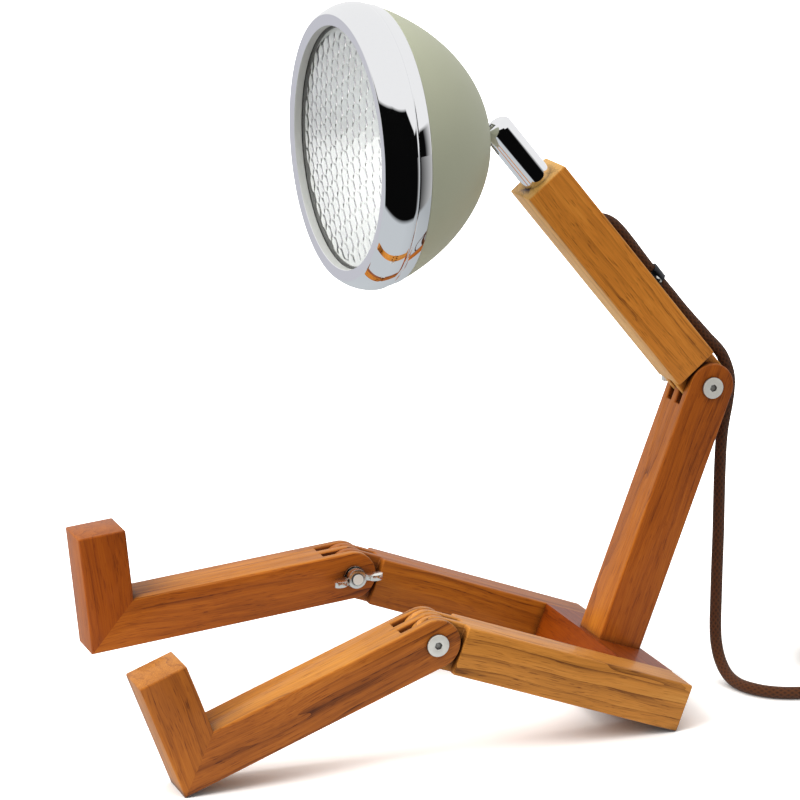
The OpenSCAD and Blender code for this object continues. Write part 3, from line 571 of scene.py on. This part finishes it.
# ---- neck ----
# A chrome tube with a rounded end and a slot over its top, kept in the chest by a set screw. Inside it a ball
# on a bright threaded stud is held by a plastic cup over disc springs, and a black collar sits on the stud.
# They are turned from outlines: pairs of radius and distance along the axis, in millimetres.
CHEST_LEAN = math.radians(39.5)
TUBE_R, TUBE_BORE_R, TUBE_TOP, TUBE_FOOT = 7, 5, 33, -18
TUBE_END_R, TUBE_CHAMFER = 3, 0.4
SLOT_W, SLOT_FOOT, SLOT_EDGE_R = 5, 23.5, 0.25 * MM
PAST_TUBE = 7
HEAD_PITCH, HEAD_SWING = math.radians(0.7), math.radians(1.1)
BALL_R, CREST_R, ROOT_R = 4.85, 1.98, 1.72
THREAD_START, THREAD_END, THREAD_PITCH = 5.4, 21.4, 0.7
STUD_HOLE_R = 2.1


def eased(outline, radius):
    """A closed outline with each corner sharper than 25 degrees rounded off."""
    made = []
    for i, corner in enumerate(outline):
        here, before, after = Vector(corner), Vector(outline[i - 1]), Vector(outline[(i + 1) % len(outline)])
        back, on = before - here, after - here
        if back.angle(on) > math.radians(155):
            made.append(corner)
            continue
        cut = min(radius, back.length * 0.45, on.length * 0.45)
        start, end = here + back.normalized() * cut, here + on.normalized() * cut
        for t in (0, 0.33, 0.67, 1):
            made.append(tuple(start * (1 - t) ** 2 + here * 2 * t * (1 - t) + end * t ** 2))
    return made


def turned(name, outline, place, steps=160, closed=True, smooth=32):
    """A solid turned about the Z axis of place."""
    mesh = bpy.data.meshes.new(name)
    count = len(outline)
    edges = [(i, (i + 1) % count) for i in range(count if closed else count - 1)]
    mesh.from_pydata([(r * MM, 0, z * MM) for r, z in outline], edges, [])
    piece = piece_of(name, mesh)
    edit_alone(piece)
    bpy.ops.mesh.spin(steps=steps, angle=2 * math.pi, center=(0, 0, 0), axis=(0, 0, 1))
    bpy.ops.mesh.select_all(action="SELECT")
    bpy.ops.mesh.remove_doubles(threshold=MERGE_GAP)
    bpy.ops.mesh.normals_make_consistent(inside=False)
    bpy.ops.object.mode_set(mode="OBJECT")
    mesh.transform(place)
    bpy.ops.object.shade_smooth_by_angle(angle=math.radians(smooth))
    return piece


def finish_piece(piece, finish, slot, body, *nodes):
    """Gives a piece its material, hides the CAD nodes it stands for and sets it on the body it rides on; slot
    is not used.
    """
    piece.data.materials.clear()
    piece.data.materials.append(finish)
    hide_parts(*nodes)
    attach(piece, body)


chrome = plated("mirror_chrome", (0.86, 0.865, 0.88), 0.02, 0.01)
neck_place = Matrix.Translation(chest_top) @ Matrix.Rotation(CHEST_LEAN, 4, "X")
domed_bore = [(TUBE_BORE_R, 26.4), (4.75, 28), (4.2, 29.6), (3, 31.1), (1.5, 31.8), (0, 32.05)]
rounded_end = [(TUBE_R - TUBE_END_R * (1 - math.sin(math.radians(a))),
                TUBE_TOP - TUBE_END_R * (1 - math.cos(math.radians(a)))) for a in range(0, 91, 10)]
screw_groove = [(TUBE_R, -6.8), (6, -7.1), (6, -10.9), (TUBE_R, -11.2)]
tube_outline = ([(TUBE_BORE_R, TUBE_FOOT)] + domed_bore + [(0, TUBE_TOP)] + rounded_end + screw_groove
                + [(TUBE_R, TUBE_FOOT + TUBE_CHAMFER), (TUBE_R - TUBE_CHAMFER, TUBE_FOOT)])
neck_tube = turned("chrome_neck_tube", tube_outline, Matrix(), 128)

slot_outline = [(SLOT_W / 2 * math.cos(math.radians(a)), SLOT_FOOT + SLOT_W / 2 * math.sin(math.radians(a)))
                for a in range(180, 361, 12)]
slot_outline += [(SLOT_W / 2, TUBE_TOP + PAST_TUBE), (-SLOT_W / 2, TUBE_TOP + PAST_TUBE)]
count = len(slot_outline)
slot_mesh = bpy.data.meshes.new("slot_cutter")
slot_ends = [tuple(range(count)), tuple(reversed(range(count, 2 * count)))]
slot_walls = [(i, i + count, (i + 1) % count + count, (i + 1) % count) for i in range(count)]
slot_mesh.from_pydata([(x * MM, y * MM, z * MM) for y in (-TUBE_R - PAST_TUBE, 0) for x, z in slot_outline],
                      [], slot_ends + slot_walls)
cutter = piece_of("slot_cutter", slot_mesh)
slot_cut = neck_tube.modifiers.new("slot", "BOOLEAN")
slot_cut.operation = "DIFFERENCE"
slot_cut.solver = "EXACT"
slot_cut.object = cutter
bpy.ops.object.modifier_apply(modifier="slot")
bpy.data.objects.remove(cutter)


def on_slot(corner):
    """True on the slot's long sides, on its end over the top of the tube and round its foot."""
    x, y, z = corner / MM
    within = abs(x) < SLOT_W / 2 + 0.1
    on_side = abs(abs(x) - SLOT_W / 2) < 0.05 and z > SLOT_FOOT - 0.1
    over_top = abs(y) < 0.02 and z > 27 and within
    at_foot = SLOT_FOOT - SLOT_W / 2 - 0.1 < z < SLOT_FOOT + 0.1 and within and y < 0
    return on_side or over_top or at_foot


edit_alone(neck_tube)
bpy.ops.mesh.select_mode(type="EDGE")
bpy.ops.mesh.select_all(action="DESELECT")
shape = bmesh.from_edit_mesh(neck_tube.data)
for edge in shape.edges:
    sharp = len(edge.link_faces) == 2 and edge.calc_face_angle() > math.radians(50)
    edge.select = sharp and all(on_slot(v.co) for v in edge.verts)
bmesh.update_edit_mesh(neck_tube.data)
bpy.ops.mesh.bevel(offset=SLOT_EDGE_R, offset_type="OFFSET", segments=2, profile=0.5, clamp_overlap=True)
bpy.ops.object.mode_set(mode="OBJECT")
neck_tube.data.transform(neck_place)
bpy.ops.object.shade_smooth_by_angle(angle=math.radians(32))
finish_piece(neck_tube, chrome, "chrome", "neck", "neck_tube")

ball = Vector(joints["head_tilt"]["pos_m"])
head_place = (Matrix.Translation(ball) @ Matrix.Rotation(math.pi / 2 + HEAD_PITCH, 4, "X")
              @ Matrix.Rotation(HEAD_SWING, 4, "Y"))
ball_outline = [(0, -BALL_R)] + [(BALL_R * math.sin(math.radians(a)), -BALL_R * math.cos(math.radians(a)))
                                 for a in range(8, 150, 8)]
shank = []
z = THREAD_START
while z < THREAD_END:
    shank += [(CREST_R, z), (CREST_R, z + 0.1), (ROOT_R, z + 0.32), (ROOT_R, z + 0.42)]
    z += THREAD_PITCH
ball_outline += [(2, 4.42), (2, 5.2)] + shank + [(1.9, 22.2), (1.5, 22.9), (0, 22.95)]
ball_stud = turned("ball_stud_bright", ball_outline, head_place, 64, closed=False, smooth=40)
finish_piece(ball_stud, plated("bright_steel", (0.66, 0.66, 0.67), 0.1), "dark_steel", "head", "ball_stud")

dark_steel = plated("blackened_steel", (0.045, 0.045, 0.05), 0.3, 0.2)
collar_outline = eased([(STUD_HOLE_R, 8.4), (3.5, 8.4), (3.5, 9.7), (STUD_HOLE_R, 9.7)], 0.3)
stud_collar = turned("stud_collar_turned", collar_outline, head_place, 64)
finish_piece(stud_collar, dark_steel, "dark_steel", "head", "stud_collar")


# ---- head shell ----
# A spun steel dome in a matt sage powder coat, its rim drawn in to a spigot that the chrome ring clips over.
POLE_Z, SEAM_Z, SHELL_R, DOME_OFFSET, SHELL_WALL = 9.8, 57.3, 59.9, 42, 1.2
SPIGOT_R, SPIGOT_H = SHELL_R - 1.6, 8
DOME_H = DOME_OFFSET + SEAM_Z - POLE_Z
DOME_R = SHELL_R / math.sqrt(1 - (DOME_OFFSET / DOME_H) ** 2)


def powder_coat(name, colour):
    """Matt paint with a fine orange-peel surface and a slight drift of tone."""
    made, tree, shader = new_material(name)
    place = add(tree, "TexCoord").outputs["Object"]
    grit = add(tree, "TexNoise", {"Vector": place}, {"Scale": 2600.0, "Detail": 2.0}).outputs["Fac"]
    drift = add(tree, "TexNoise", {"Vector": place}, {"Scale": 35.0, "Detail": 2.0}).outputs["Fac"]
    tone = math_node(tree, "MULTIPLY_ADD", drift, 0.06, 0.93)
    tone = math_node(tree, "MULTIPLY_ADD", grit, 0.07, tone)
    tree.links.new(dyed(tree, colour, tone), shader.inputs["Base Color"])
    shader.inputs["Roughness"].default_value = 0.5
    bump(tree, shader, grit, 0.00008, 0.5)
    return made


def dome(wall, inner_r, steps=48):
    """Points of the dome from the stud hole to the seam, less a wall."""
    points = []
    for i in range(steps + 1):
        z = POLE_Z + wall + (SEAM_Z - POLE_Z - wall) * (1 - math.cos(math.pi / 2 * i / steps))
        r = (DOME_R - wall) * math.sqrt(max(0, 1 - ((SEAM_Z - z + DOME_OFFSET) / (DOME_H - wall)) ** 2))
        if r > inner_r:
            points.append((r, z))
    return [(inner_r, points[0][1] - 0.02)] + points


shell_outline = (dome(0, STUD_HOLE_R)[:-1]
                 + [(SHELL_R - 0.05, SEAM_Z - 0.25), (SHELL_R - 0.2, SEAM_Z - 0.02), (SHELL_R - 0.5, SEAM_Z),
                    (SPIGOT_R, SEAM_Z), (SPIGOT_R, SEAM_Z + SPIGOT_H),
                    (SPIGOT_R - SHELL_WALL, SEAM_Z + SPIGOT_H), (SPIGOT_R - SHELL_WALL, SEAM_Z - 2)]
                 + list(reversed(dome(SHELL_WALL, STUD_HOLE_R)))[1:])
head_shell = turned("spun_head_shell", shell_outline, head_place, 192)
sage_paint = powder_coat("sage_powder_coat", (0.55, 0.57, 0.405))
finish_piece(head_shell, sage_paint, "sage_paint", "head", "head_shell")


# ---- chrome ring ----
# A pressed brass ring with mirror chrome: a small rolled band against the shell, a crease, the wide rounded
# side and a narrow flat front that holds the glass. Its opening's wall is brushed. It clips over the spigot.
FRONT_Z, GLASS_Z, OPENING_R, FRONT_R, WIDEST_R, WIDEST_Z = 77.7, 73.7, 52.4, 57.7, 62.2, 65.3
FLANK_STEPS, FLANK_POWER = 40, 2.2
roll = [(59.9, 57.45), (60.1, 57.5), (60.2, 57.7), (61.5, 62.9), (61.52, 63.1), (61.4, 63.25), (61.4, 63.4),
        (61.55, 63.55), (61.9, 63.95), (62.1, 64.5)]
flank = []
for i in range(FLANK_STEPS + 1):
    t = i / FLANK_STEPS
    flank.append((WIDEST_R - (WIDEST_R - FRONT_R) * t ** FLANK_POWER,
                  WIDEST_Z + (FRONT_Z - 0.15 - WIDEST_Z) * t))
front = [(57.55, 77.63), (57.2, FRONT_Z), (53.0, 77.3), (52.55, 77.15), (OPENING_R, 76.8), (OPENING_R, 73.85)]
glass_seat = [(52.55, GLASS_Z), (54.7, GLASS_Z), (54.7, 72.3)]
inside = [(57.4, 72.3), (58.8, 70.2), (60.2, 66.5), (60.8, 64.0), (60.2, 62.4), (60.1, 60.7), (58.4, 59.9),
          (58.4, 57.45)]
bezel_ring = turned("chrome_ring", roll + flank + front + glass_seat + inside, head_place, 256, smooth=40)
finish_piece(bezel_ring, chrome, "chrome", "head", "bezel_ring")
bezel_ring.data.materials.append(plated("brushed_inner_wall", (0.55, 0.56, 0.53), 0.45, 0.05, metallic=0.2))
for face in bezel_ring.data.polygons:
    spot = head_place.inverted() @ face.center
    face.material_index = int(math.hypot(spot.x, spot.y) < (OPENING_R + 0.3) * MM)


# ---- glass ----
# Clear pressed glass, slightly crowned and smooth in front, with a field of hexagonal pillows on its back.
GLASS_T, CROWN, CROWN_R, RIM_R, RIM_EASE = 2.6, 3, 52.0, 54.6, 0.3
PILLOW_PITCH, PILLOW_RISE, PILLOW_ROUND = 7.5, 0.26, 0.8
COLUMN_PITCH = PILLOW_PITCH * math.sqrt(0.75)
FIELD_R, FIELD_FADE = 49.5, 1.5


def crown(r):
    """Height of the glass's front, which rises from its seat to the middle."""
    return GLASS_Z - 0.1 + CROWN * (1 - (min(r, CROWN_R) / CROWN_R) ** 2)


def pillow(x, y):
    """Height of the pillow field: round-topped cells on a hexagonal lattice, fading out at the rim."""
    column = math.floor(x / COLUMN_PITCH)
    best, second = 1e9, 1e9
    for c in range(column - 1, column + 3):
        row = math.floor(y / PILLOW_PITCH - 0.5 * (c % 2))
        for k in range(row - 1, row + 3):
            dx = x - c * COLUMN_PITCH
            dy = y - (k + 0.5 * (c % 2)) * PILLOW_PITCH
            away = math.hypot(dx, dy)
            best, second = min(best, away), min(max(best, away), second)
    fade = min(1, max(0, (FIELD_R - math.hypot(x, y)) / FIELD_FADE))
    inwards = min(1, (second - best) / (PILLOW_ROUND * PILLOW_PITCH))
    return PILLOW_RISE * (1 - fade * (1 - inwards) ** 3)


def pressed_glass_mesh(sides=400, front_rings=24, rear_step=0.5):
    """Rings of points from the middle of the front, round the rim, to the middle of the back."""
    front = [(i * CROWN_R / front_rings, "front") for i in range(1, front_rings + 1)]
    front += [(RIM_R - RIM_EASE, "front"), (RIM_R, "front edge")]
    rear = [(RIM_R, "rear edge"), (RIM_R - RIM_EASE, "rear")]
    rear += [(CROWN_R - i * rear_step, "rear") for i in range(round(CROWN_R / rear_step))]
    drop = {"front": 0, "front edge": -RIM_EASE, "rear edge": RIM_EASE - GLASS_T, "rear": -GLASS_T}
    verts, faces = [(0, 0, crown(0))], []
    for r, part in front + rear:
        for k in range(sides):
            a = 2 * math.pi * k / sides
            x, y = r * math.cos(a), r * math.sin(a)
            z = crown(r) + drop[part]
            if part == "rear" and r < FIELD_R + 0.5:
                z += PILLOW_RISE - pillow(x, y)
            verts.append((x, y, z))
    verts.append((0, 0, crown(0) - GLASS_T))
    count = len(front + rear)
    for k in range(sides):
        n = (k + 1) % sides
        faces.append((0, 1 + k, 1 + n))
        for i in range(count - 1):
            a, b = 1 + i * sides, 1 + (i + 1) * sides
            faces.append((a + k, b + k, b + n, a + n))
        last = 1 + (count - 1) * sides
        faces.append((len(verts) - 1, last + n, last + k))
    mesh = bpy.data.meshes.new("pressed_glass")
    mesh.from_pydata([(x * MM, y * MM, z * MM) for x, y, z in verts], [], faces)
    return mesh


glass, glass_tree, glass_shader = new_material("clear_pressed_glass")
glass_shader.inputs["Base Color"].default_value = (0.985, 0.99, 0.98, 1)
glass_shader.inputs["Roughness"].default_value = 0.02
glass_shader.inputs["Transmission Weight"].default_value = 1.0
glass_shader.inputs["IOR"].default_value = 1.5
glass_rays = add(glass_tree, "LightPath")
clear = add(glass_tree, "BsdfTransparent", values={"Color": (0.95, 0.96, 0.95, 1)})
glass_mix = add(glass_tree, "MixShader",
                {0: glass_rays.outputs["Is Shadow Ray"], 1: glass_shader.outputs[0], 2: clear.outputs[0]})
glass_tree.links.new(glass_mix.outputs[0], glass_tree.nodes["Material Output"].inputs["Surface"])
glass_place = add(glass_tree, "TexCoord").outputs["Object"]
ripple = add(glass_tree, "TexNoise", {"Vector": glass_place}, {"Scale": 160.0})
bump(glass_tree, glass_shader, ripple.outputs["Fac"], 0.00002, 0.4)
lens_mesh = pressed_glass_mesh()
lens_mesh.transform(head_place)
lens = piece_of("pressed_lens", lens_mesh)
edit_alone(lens)
bpy.ops.mesh.normals_make_consistent(inside=False)
bpy.ops.object.mode_set(mode="OBJECT")
bpy.ops.object.shade_smooth_by_angle(angle=math.radians(40))
finish_piece(lens, glass, "lens", "head", "lens_glass")


# ---- inside the head ----
# A bowl of bright anodised aluminium behind the glass, pressed to a parabola, with the LED at its bottom. Its
# flange is held between the glass's gasket and the ring.
BOWL_FLOOR_Z, BOWL_TOP_Z, BOWL_HOLE_R, BOWL_R, BOWL_STEPS = 31, 69.3, 9, 51.4, 40
FLANGE_R, FLANGE_Z, BOWL_WALL = 54.5, 70.15, 0.95
bowl = []
for i in range(BOWL_STEPS + 1):
    r = BOWL_HOLE_R + (BOWL_R - BOWL_HOLE_R) * i / BOWL_STEPS
    rise = (r * r - BOWL_HOLE_R ** 2) / (BOWL_R ** 2 - BOWL_HOLE_R ** 2)
    bowl.append((r, BOWL_FLOOR_Z + (BOWL_TOP_Z - BOWL_FLOOR_Z) * rise))
flange = [(FLANGE_R, FLANGE_Z - 0.8), (FLANGE_R, FLANGE_Z)]
bowl_inside = [(r, z + BOWL_WALL) for r, z in reversed(bowl)]
reflector = turned("reflector_bowl", bowl + flange + bowl_inside, head_place, 160)
bright_aluminium = plated("bright_aluminium", (0.96, 0.965, 0.955), 0.36, 0.03, metallic=0.5)
finish_piece(reflector, bright_aluminium, "reflector_silver", "head", "reflector")


# ---- small and hidden pieces that keep their construction shape ----
# Beech dowels, plated screws and nuts, moulded rubber and plastic, turned aluminium and printed boards. They
# hold the bars, the neck and the lamp's inside together, and the plug and the strap lie with the coil.
def moulded(name, colour, roughness, scale=1500.0, depth=0.00003):
    """A moulded or sawn matt material with a fine texture."""
    made, tree, shader = new_material(name)
    place = add(tree, "TexCoord").outputs["Object"]
    grain = add(tree, "TexNoise", {"Vector": place}, {"Scale": scale, "Detail": 3.0}).outputs["Fac"]
    tone = remap(tree, grain, 0.0, 1.0, 0.85, 1.12)
    tree.links.new(dyed(tree, colour, tone), shader.inputs["Base Color"])
    shader.inputs["Roughness"].default_value = roughness
    bump(tree, shader, grain, depth, 0.5)
    return made


beech = moulded("raw_beech", (0.55, 0.38, 0.2), 0.6)
black_rubber = moulded("black_rubber", (0.022, 0.021, 0.02), 0.55)
bearing_plastic = moulded("bearing_plastic", (0.7, 0.66, 0.55), 0.45)
turned_aluminium = plated("turned_aluminium", (0.6, 0.61, 0.62), 0.35)
white_board = moulded("white_board", (0.8, 0.8, 0.78), 0.4)
green_board = moulded("green_board", (0.02, 0.12, 0.05), 0.4)
yellow_phosphor = moulded("yellow_phosphor", (0.9, 0.75, 0.25), 0.3)
plug_black = moulded("plug_black", (0.02, 0.02, 0.02), 0.32)
for finish, slot, body, radius, names in (
        (nickel, "nickel", "root", 0.2, ("torso_bolt", "torso_barrel_nut", "plug_pins")),
        (nickel, "nickel", "chest", 0.15, ("clip_screws",)),
        (nickel, "nickel", "head", 0.2, ("stud_lock_nut",)),
        (dark_steel, "dark_steel", "chest", 0.1, ("neck_set_screw", "cord_clip")),
        (dark_steel, "spring_steel", "neck", 0.05, ("disc_springs", "spring_collar")),
        (beech, "dowel_wood", "root", 0.4, ("rail_dowels",)),
        (beech, "dowel_wood", "left_lower_leg", 0.3, ("left_heel_dowels",)),
        (beech, "dowel_wood", "right_lower_leg", 0.3, ("right_heel_dowels",)),
        (black_rubber, "black_rubber", "head", 0.1, ("lens_gasket",)),
        (black_rubber, "black_rubber", "chest", 0.2, ("cord_bush",)),
        (black_rubber, "black_rubber", "root", 0.2, ("plug_relief",)),
        (bearing_plastic, "cup_plastic", "neck", 0.1, ("friction_cup",)),
        (turned_aluminium, "sink_aluminium", "head", 0.15, ("heat_sink",)),
        (white_board, "board", "head", 0.1, ("led_board",)),
        (green_board, "green_board", "head", 0.1, ("touch_board",)),
        (yellow_phosphor, "emitter", "head", 0.1, ("led_emitter",)),
        (plug_black, "plug_plastic", "root", 0.6, ("plug_body",))):
    for name in names:
        edged(name, radius * MM, finish, body)

strap_web = moulded("strap_web", (0.015, 0.014, 0.014), 0.8, 2500.0, 0.0001)
edged("coil_strap", 0.2 * MM, strap_web, "root")
edged("inner_lead", 0.3 * MM, moulded("lead_sheath", (0.03, 0.02, 0.015), 0.5), "chest")


# ---- studio ----
# A white table that ends a little way in front of the lamp, white walls and ceiling, and a dark camera side,
# which only the glossy surfaces show. Two broad soft lights hang above and in front of it.
TABLE_EDGE = 0.24
TABLE_WHITE = (1.5, 1.48, 1.45)
TABLE_SHINE = (0.6, 0.635, 0.66)
WALL_GREY = (0.60, 0.60, 0.65)
ROOM_DIM = (0.15, 0.15, 0.15)
WHITE = (1, 1, 1)
DARKEST = 0.003
LENS_LEVEL = 1.45
level_view = Vector((towards_camera.x, towards_camera.y, 0)).normalized()

bpy.ops.mesh.primitive_plane_add(size=12, location=(0, 0, 0))
floor = bpy.context.object
floor.name = "table_top"
floor_paint, floor_tree, floor_shader = new_material("table_paint")
floor_shader.inputs["Base Color"].default_value = (0.78, 0.78, 0.78, 1)
floor_shader.inputs["Roughness"].default_value = 0.7
floor_shader.inputs["Specular IOR Level"].default_value = 0.2


def own_light(colour, strength):
    """A part of the table's look that gives its own light, at a number's or a socket's strength."""
    made = add(floor_tree, "Emission", values={"Color": (*colour, 1)})
    if isinstance(strength, float):
        made.inputs["Strength"].default_value = strength
    else:
        floor_tree.links.new(strength, made.inputs["Strength"])
    return made.outputs[0]


rays = add(floor_tree, "LightPath").outputs
spot = add(floor_tree, "NewGeometry").outputs["Position"]
spot_parts = add(floor_tree, "SeparateXYZ", {"Vector": spot}).outputs

# what the camera sees: white paint with soft contact shadows, deepened by painted shade where the lamp
# closes in over it, going over into pure white away from the lamp
contact = add(floor_tree, "AmbientOcclusion", values={"Distance": 0.035}, samples=8)
# painted shade: the table's colour darkens where the lamp closes in over it
under = remap(floor_tree, contact.outputs["AO"], 0.3, 0.85, 0.5, 1.0)
white_top = add(floor_tree, "BsdfDiffuse", {"Color": dyed(floor_tree, TABLE_WHITE, under)})
from_lamp = add(floor_tree, "VectorMath", {0: spot}, operation="LENGTH").outputs["Value"]
glow = own_light(WHITE, remap(floor_tree, from_lamp, 0.2, 0.6, 0.0, 0.8))
seen_top = add(floor_tree, "AddShader", {0: white_top.outputs[0], 1: glow})
look = add(floor_tree, "MixShader",
           {0: rays["Is Camera Ray"], 1: floor_shader.outputs[0], 2: seen_top.outputs[0]}).outputs[0]

# what the chrome, the glass and the bounced light see: the table, and past its edge the room
outward = add(floor_tree, "VectorMath", {0: spot}, operation="NORMALIZE").outputs["Vector"]
facing = add(floor_tree, "VectorMath", {0: outward}, {1: tuple(level_view)},
             operation="DOT_PRODUCT").outputs["Value"]
past_edge = remap(floor_tree, spot_parts["X"], TABLE_EDGE - 0.01, TABLE_EDGE + 0.02)
far_side = remap(floor_tree, spot_parts["X"], -0.75, -0.5, 1.0, 0.0)
dim_room = own_light(ROOM_DIM, 1.0)
dark_room = own_light(WHITE, remap(floor_tree, facing, 0.05, 0.55, 0.62, DARKEST))
table_shine = own_light(TABLE_SHINE, remap(floor_tree, spot_parts["Y"], 0.0, 0.3, 1.0, 0.75))
grey_wall = own_light(WALL_GREY, 1.0)
seen_in_lens = own_light(WHITE, LENS_LEVEL)
glossy = rays["Is Glossy Ray"]
for covers, shade in ((rays["Is Transmission Ray"], seen_in_lens),
                      (math_node(floor_tree, "MULTIPLY", past_edge, rays["Is Diffuse Ray"]), dim_room),
                      (glossy, table_shine),
                      (math_node(floor_tree, "MULTIPLY", far_side, glossy), grey_wall),
                      (math_node(floor_tree, "MULTIPLY", past_edge, glossy), dark_room)):
    look = add(floor_tree, "MixShader", {0: covers, 1: look, 2: shade}).outputs[0]
floor_tree.links.new(look, floor_tree.nodes["Material Output"].inputs["Surface"])
floor.data.materials.append(floor_paint)

world = bpy.data.worlds.new("studio")
bpy.context.scene.world = world
world.use_nodes = True
sky = world.node_tree
background = sky.nodes["Background"]
background.inputs["Color"].default_value = (*WHITE, 1)
sky_rays = add(sky, "LightPath").outputs
direction = add(sky, "TexCoord").outputs["Generated"]
sky_facing = add(sky, "VectorMath", {0: direction}, {1: tuple(level_view)},
                 operation="DOT_PRODUCT").outputs["Value"]
direction_parts = add(sky, "SeparateXYZ", {"Vector": direction}).outputs
backwards, height = direction_parts["Y"], direction_parts["Z"]

# the chrome sees white walls and ceiling, and a dark camera side whose top edge slopes down at the rear
to_side = remap(sky, sky_facing, 0.0, 0.3)
front_top = remap(sky, backwards, -0.8, -0.2, 0.52, 0.62)
rear_top = remap(sky, backwards, 0.15, 0.4, 0.58, 0.27)
over = math_node(sky, "SUBTRACT", height, math_node(sky, "MINIMUM", front_top, rear_top))
camera_side = math_node(sky, "MULTIPLY", to_side, remap(sky, over, -0.02, 0.02, 1.0, 0.0))
glossy_level = math_node(sky, "MULTIPLY_ADD", camera_side, DARKEST - 0.95, 0.95)

# matt surfaces get more light from above and from the figure's front, and less from the camera's side
soft_top = remap(sky, height, -0.2, 0.9, 0.4, 1.25)
soft_side = remap(sky, sky_facing, -1.0, 1.0, 1.0, 0.66)
from_front = math_node(sky, "MULTIPLY_ADD", backwards, -0.28, 1.0)
diffuse_level = math_node(sky, "MULTIPLY", math_node(sky, "MULTIPLY", soft_top, soft_side), from_front)
level = add(sky, "Mix", {"Factor": sky_rays["Is Glossy Ray"], "A": diffuse_level, "B": glossy_level})

# the camera sees pure white, and so does the glass, which looks into a brighter front
straight = math_node(sky, "MAXIMUM", sky_rays["Is Camera Ray"], sky_rays["Is Transmission Ray"])
ahead = remap(sky, backwards, -0.95, -0.2, 0.75, 0.0)
through_glass = math_node(sky, "MULTIPLY_ADD", sky_rays["Is Transmission Ray"], ahead, 1.0)
seen = add(sky, "Mix", {"Factor": straight, "A": level.outputs["Result"], "B": through_glass})
sky.links.new(seen.outputs["Result"], background.inputs["Strength"])


def softbox(name, place, aim, size, watts):
    """A square soft light at a place, turned to a point, which the chrome and the glass do not show."""
    bpy.ops.object.light_add(type="AREA", location=place)
    lamp = bpy.context.object
    lamp.name = name
    lamp.data.shape = "RECTANGLE"
    lamp.data.size = size
    lamp.data.size_y = size
    lamp.data.energy = watts
    lamp.rotation_euler = (Vector(aim) - Vector(place)).to_track_quat("-Z", "Y").to_euler()
    lamp.visible_glossy = False
    lamp.visible_transmission = False


softbox("overhead_light", (0.3, -1.2, 1.2), (0, 0, 0.1), 1.1, 22)
softbox("front_light", (0.3, -1.7, 0.8), (0, 0, 0.15), 0.9, 4)

bpy.context.scene.view_settings.view_transform = "Standard"
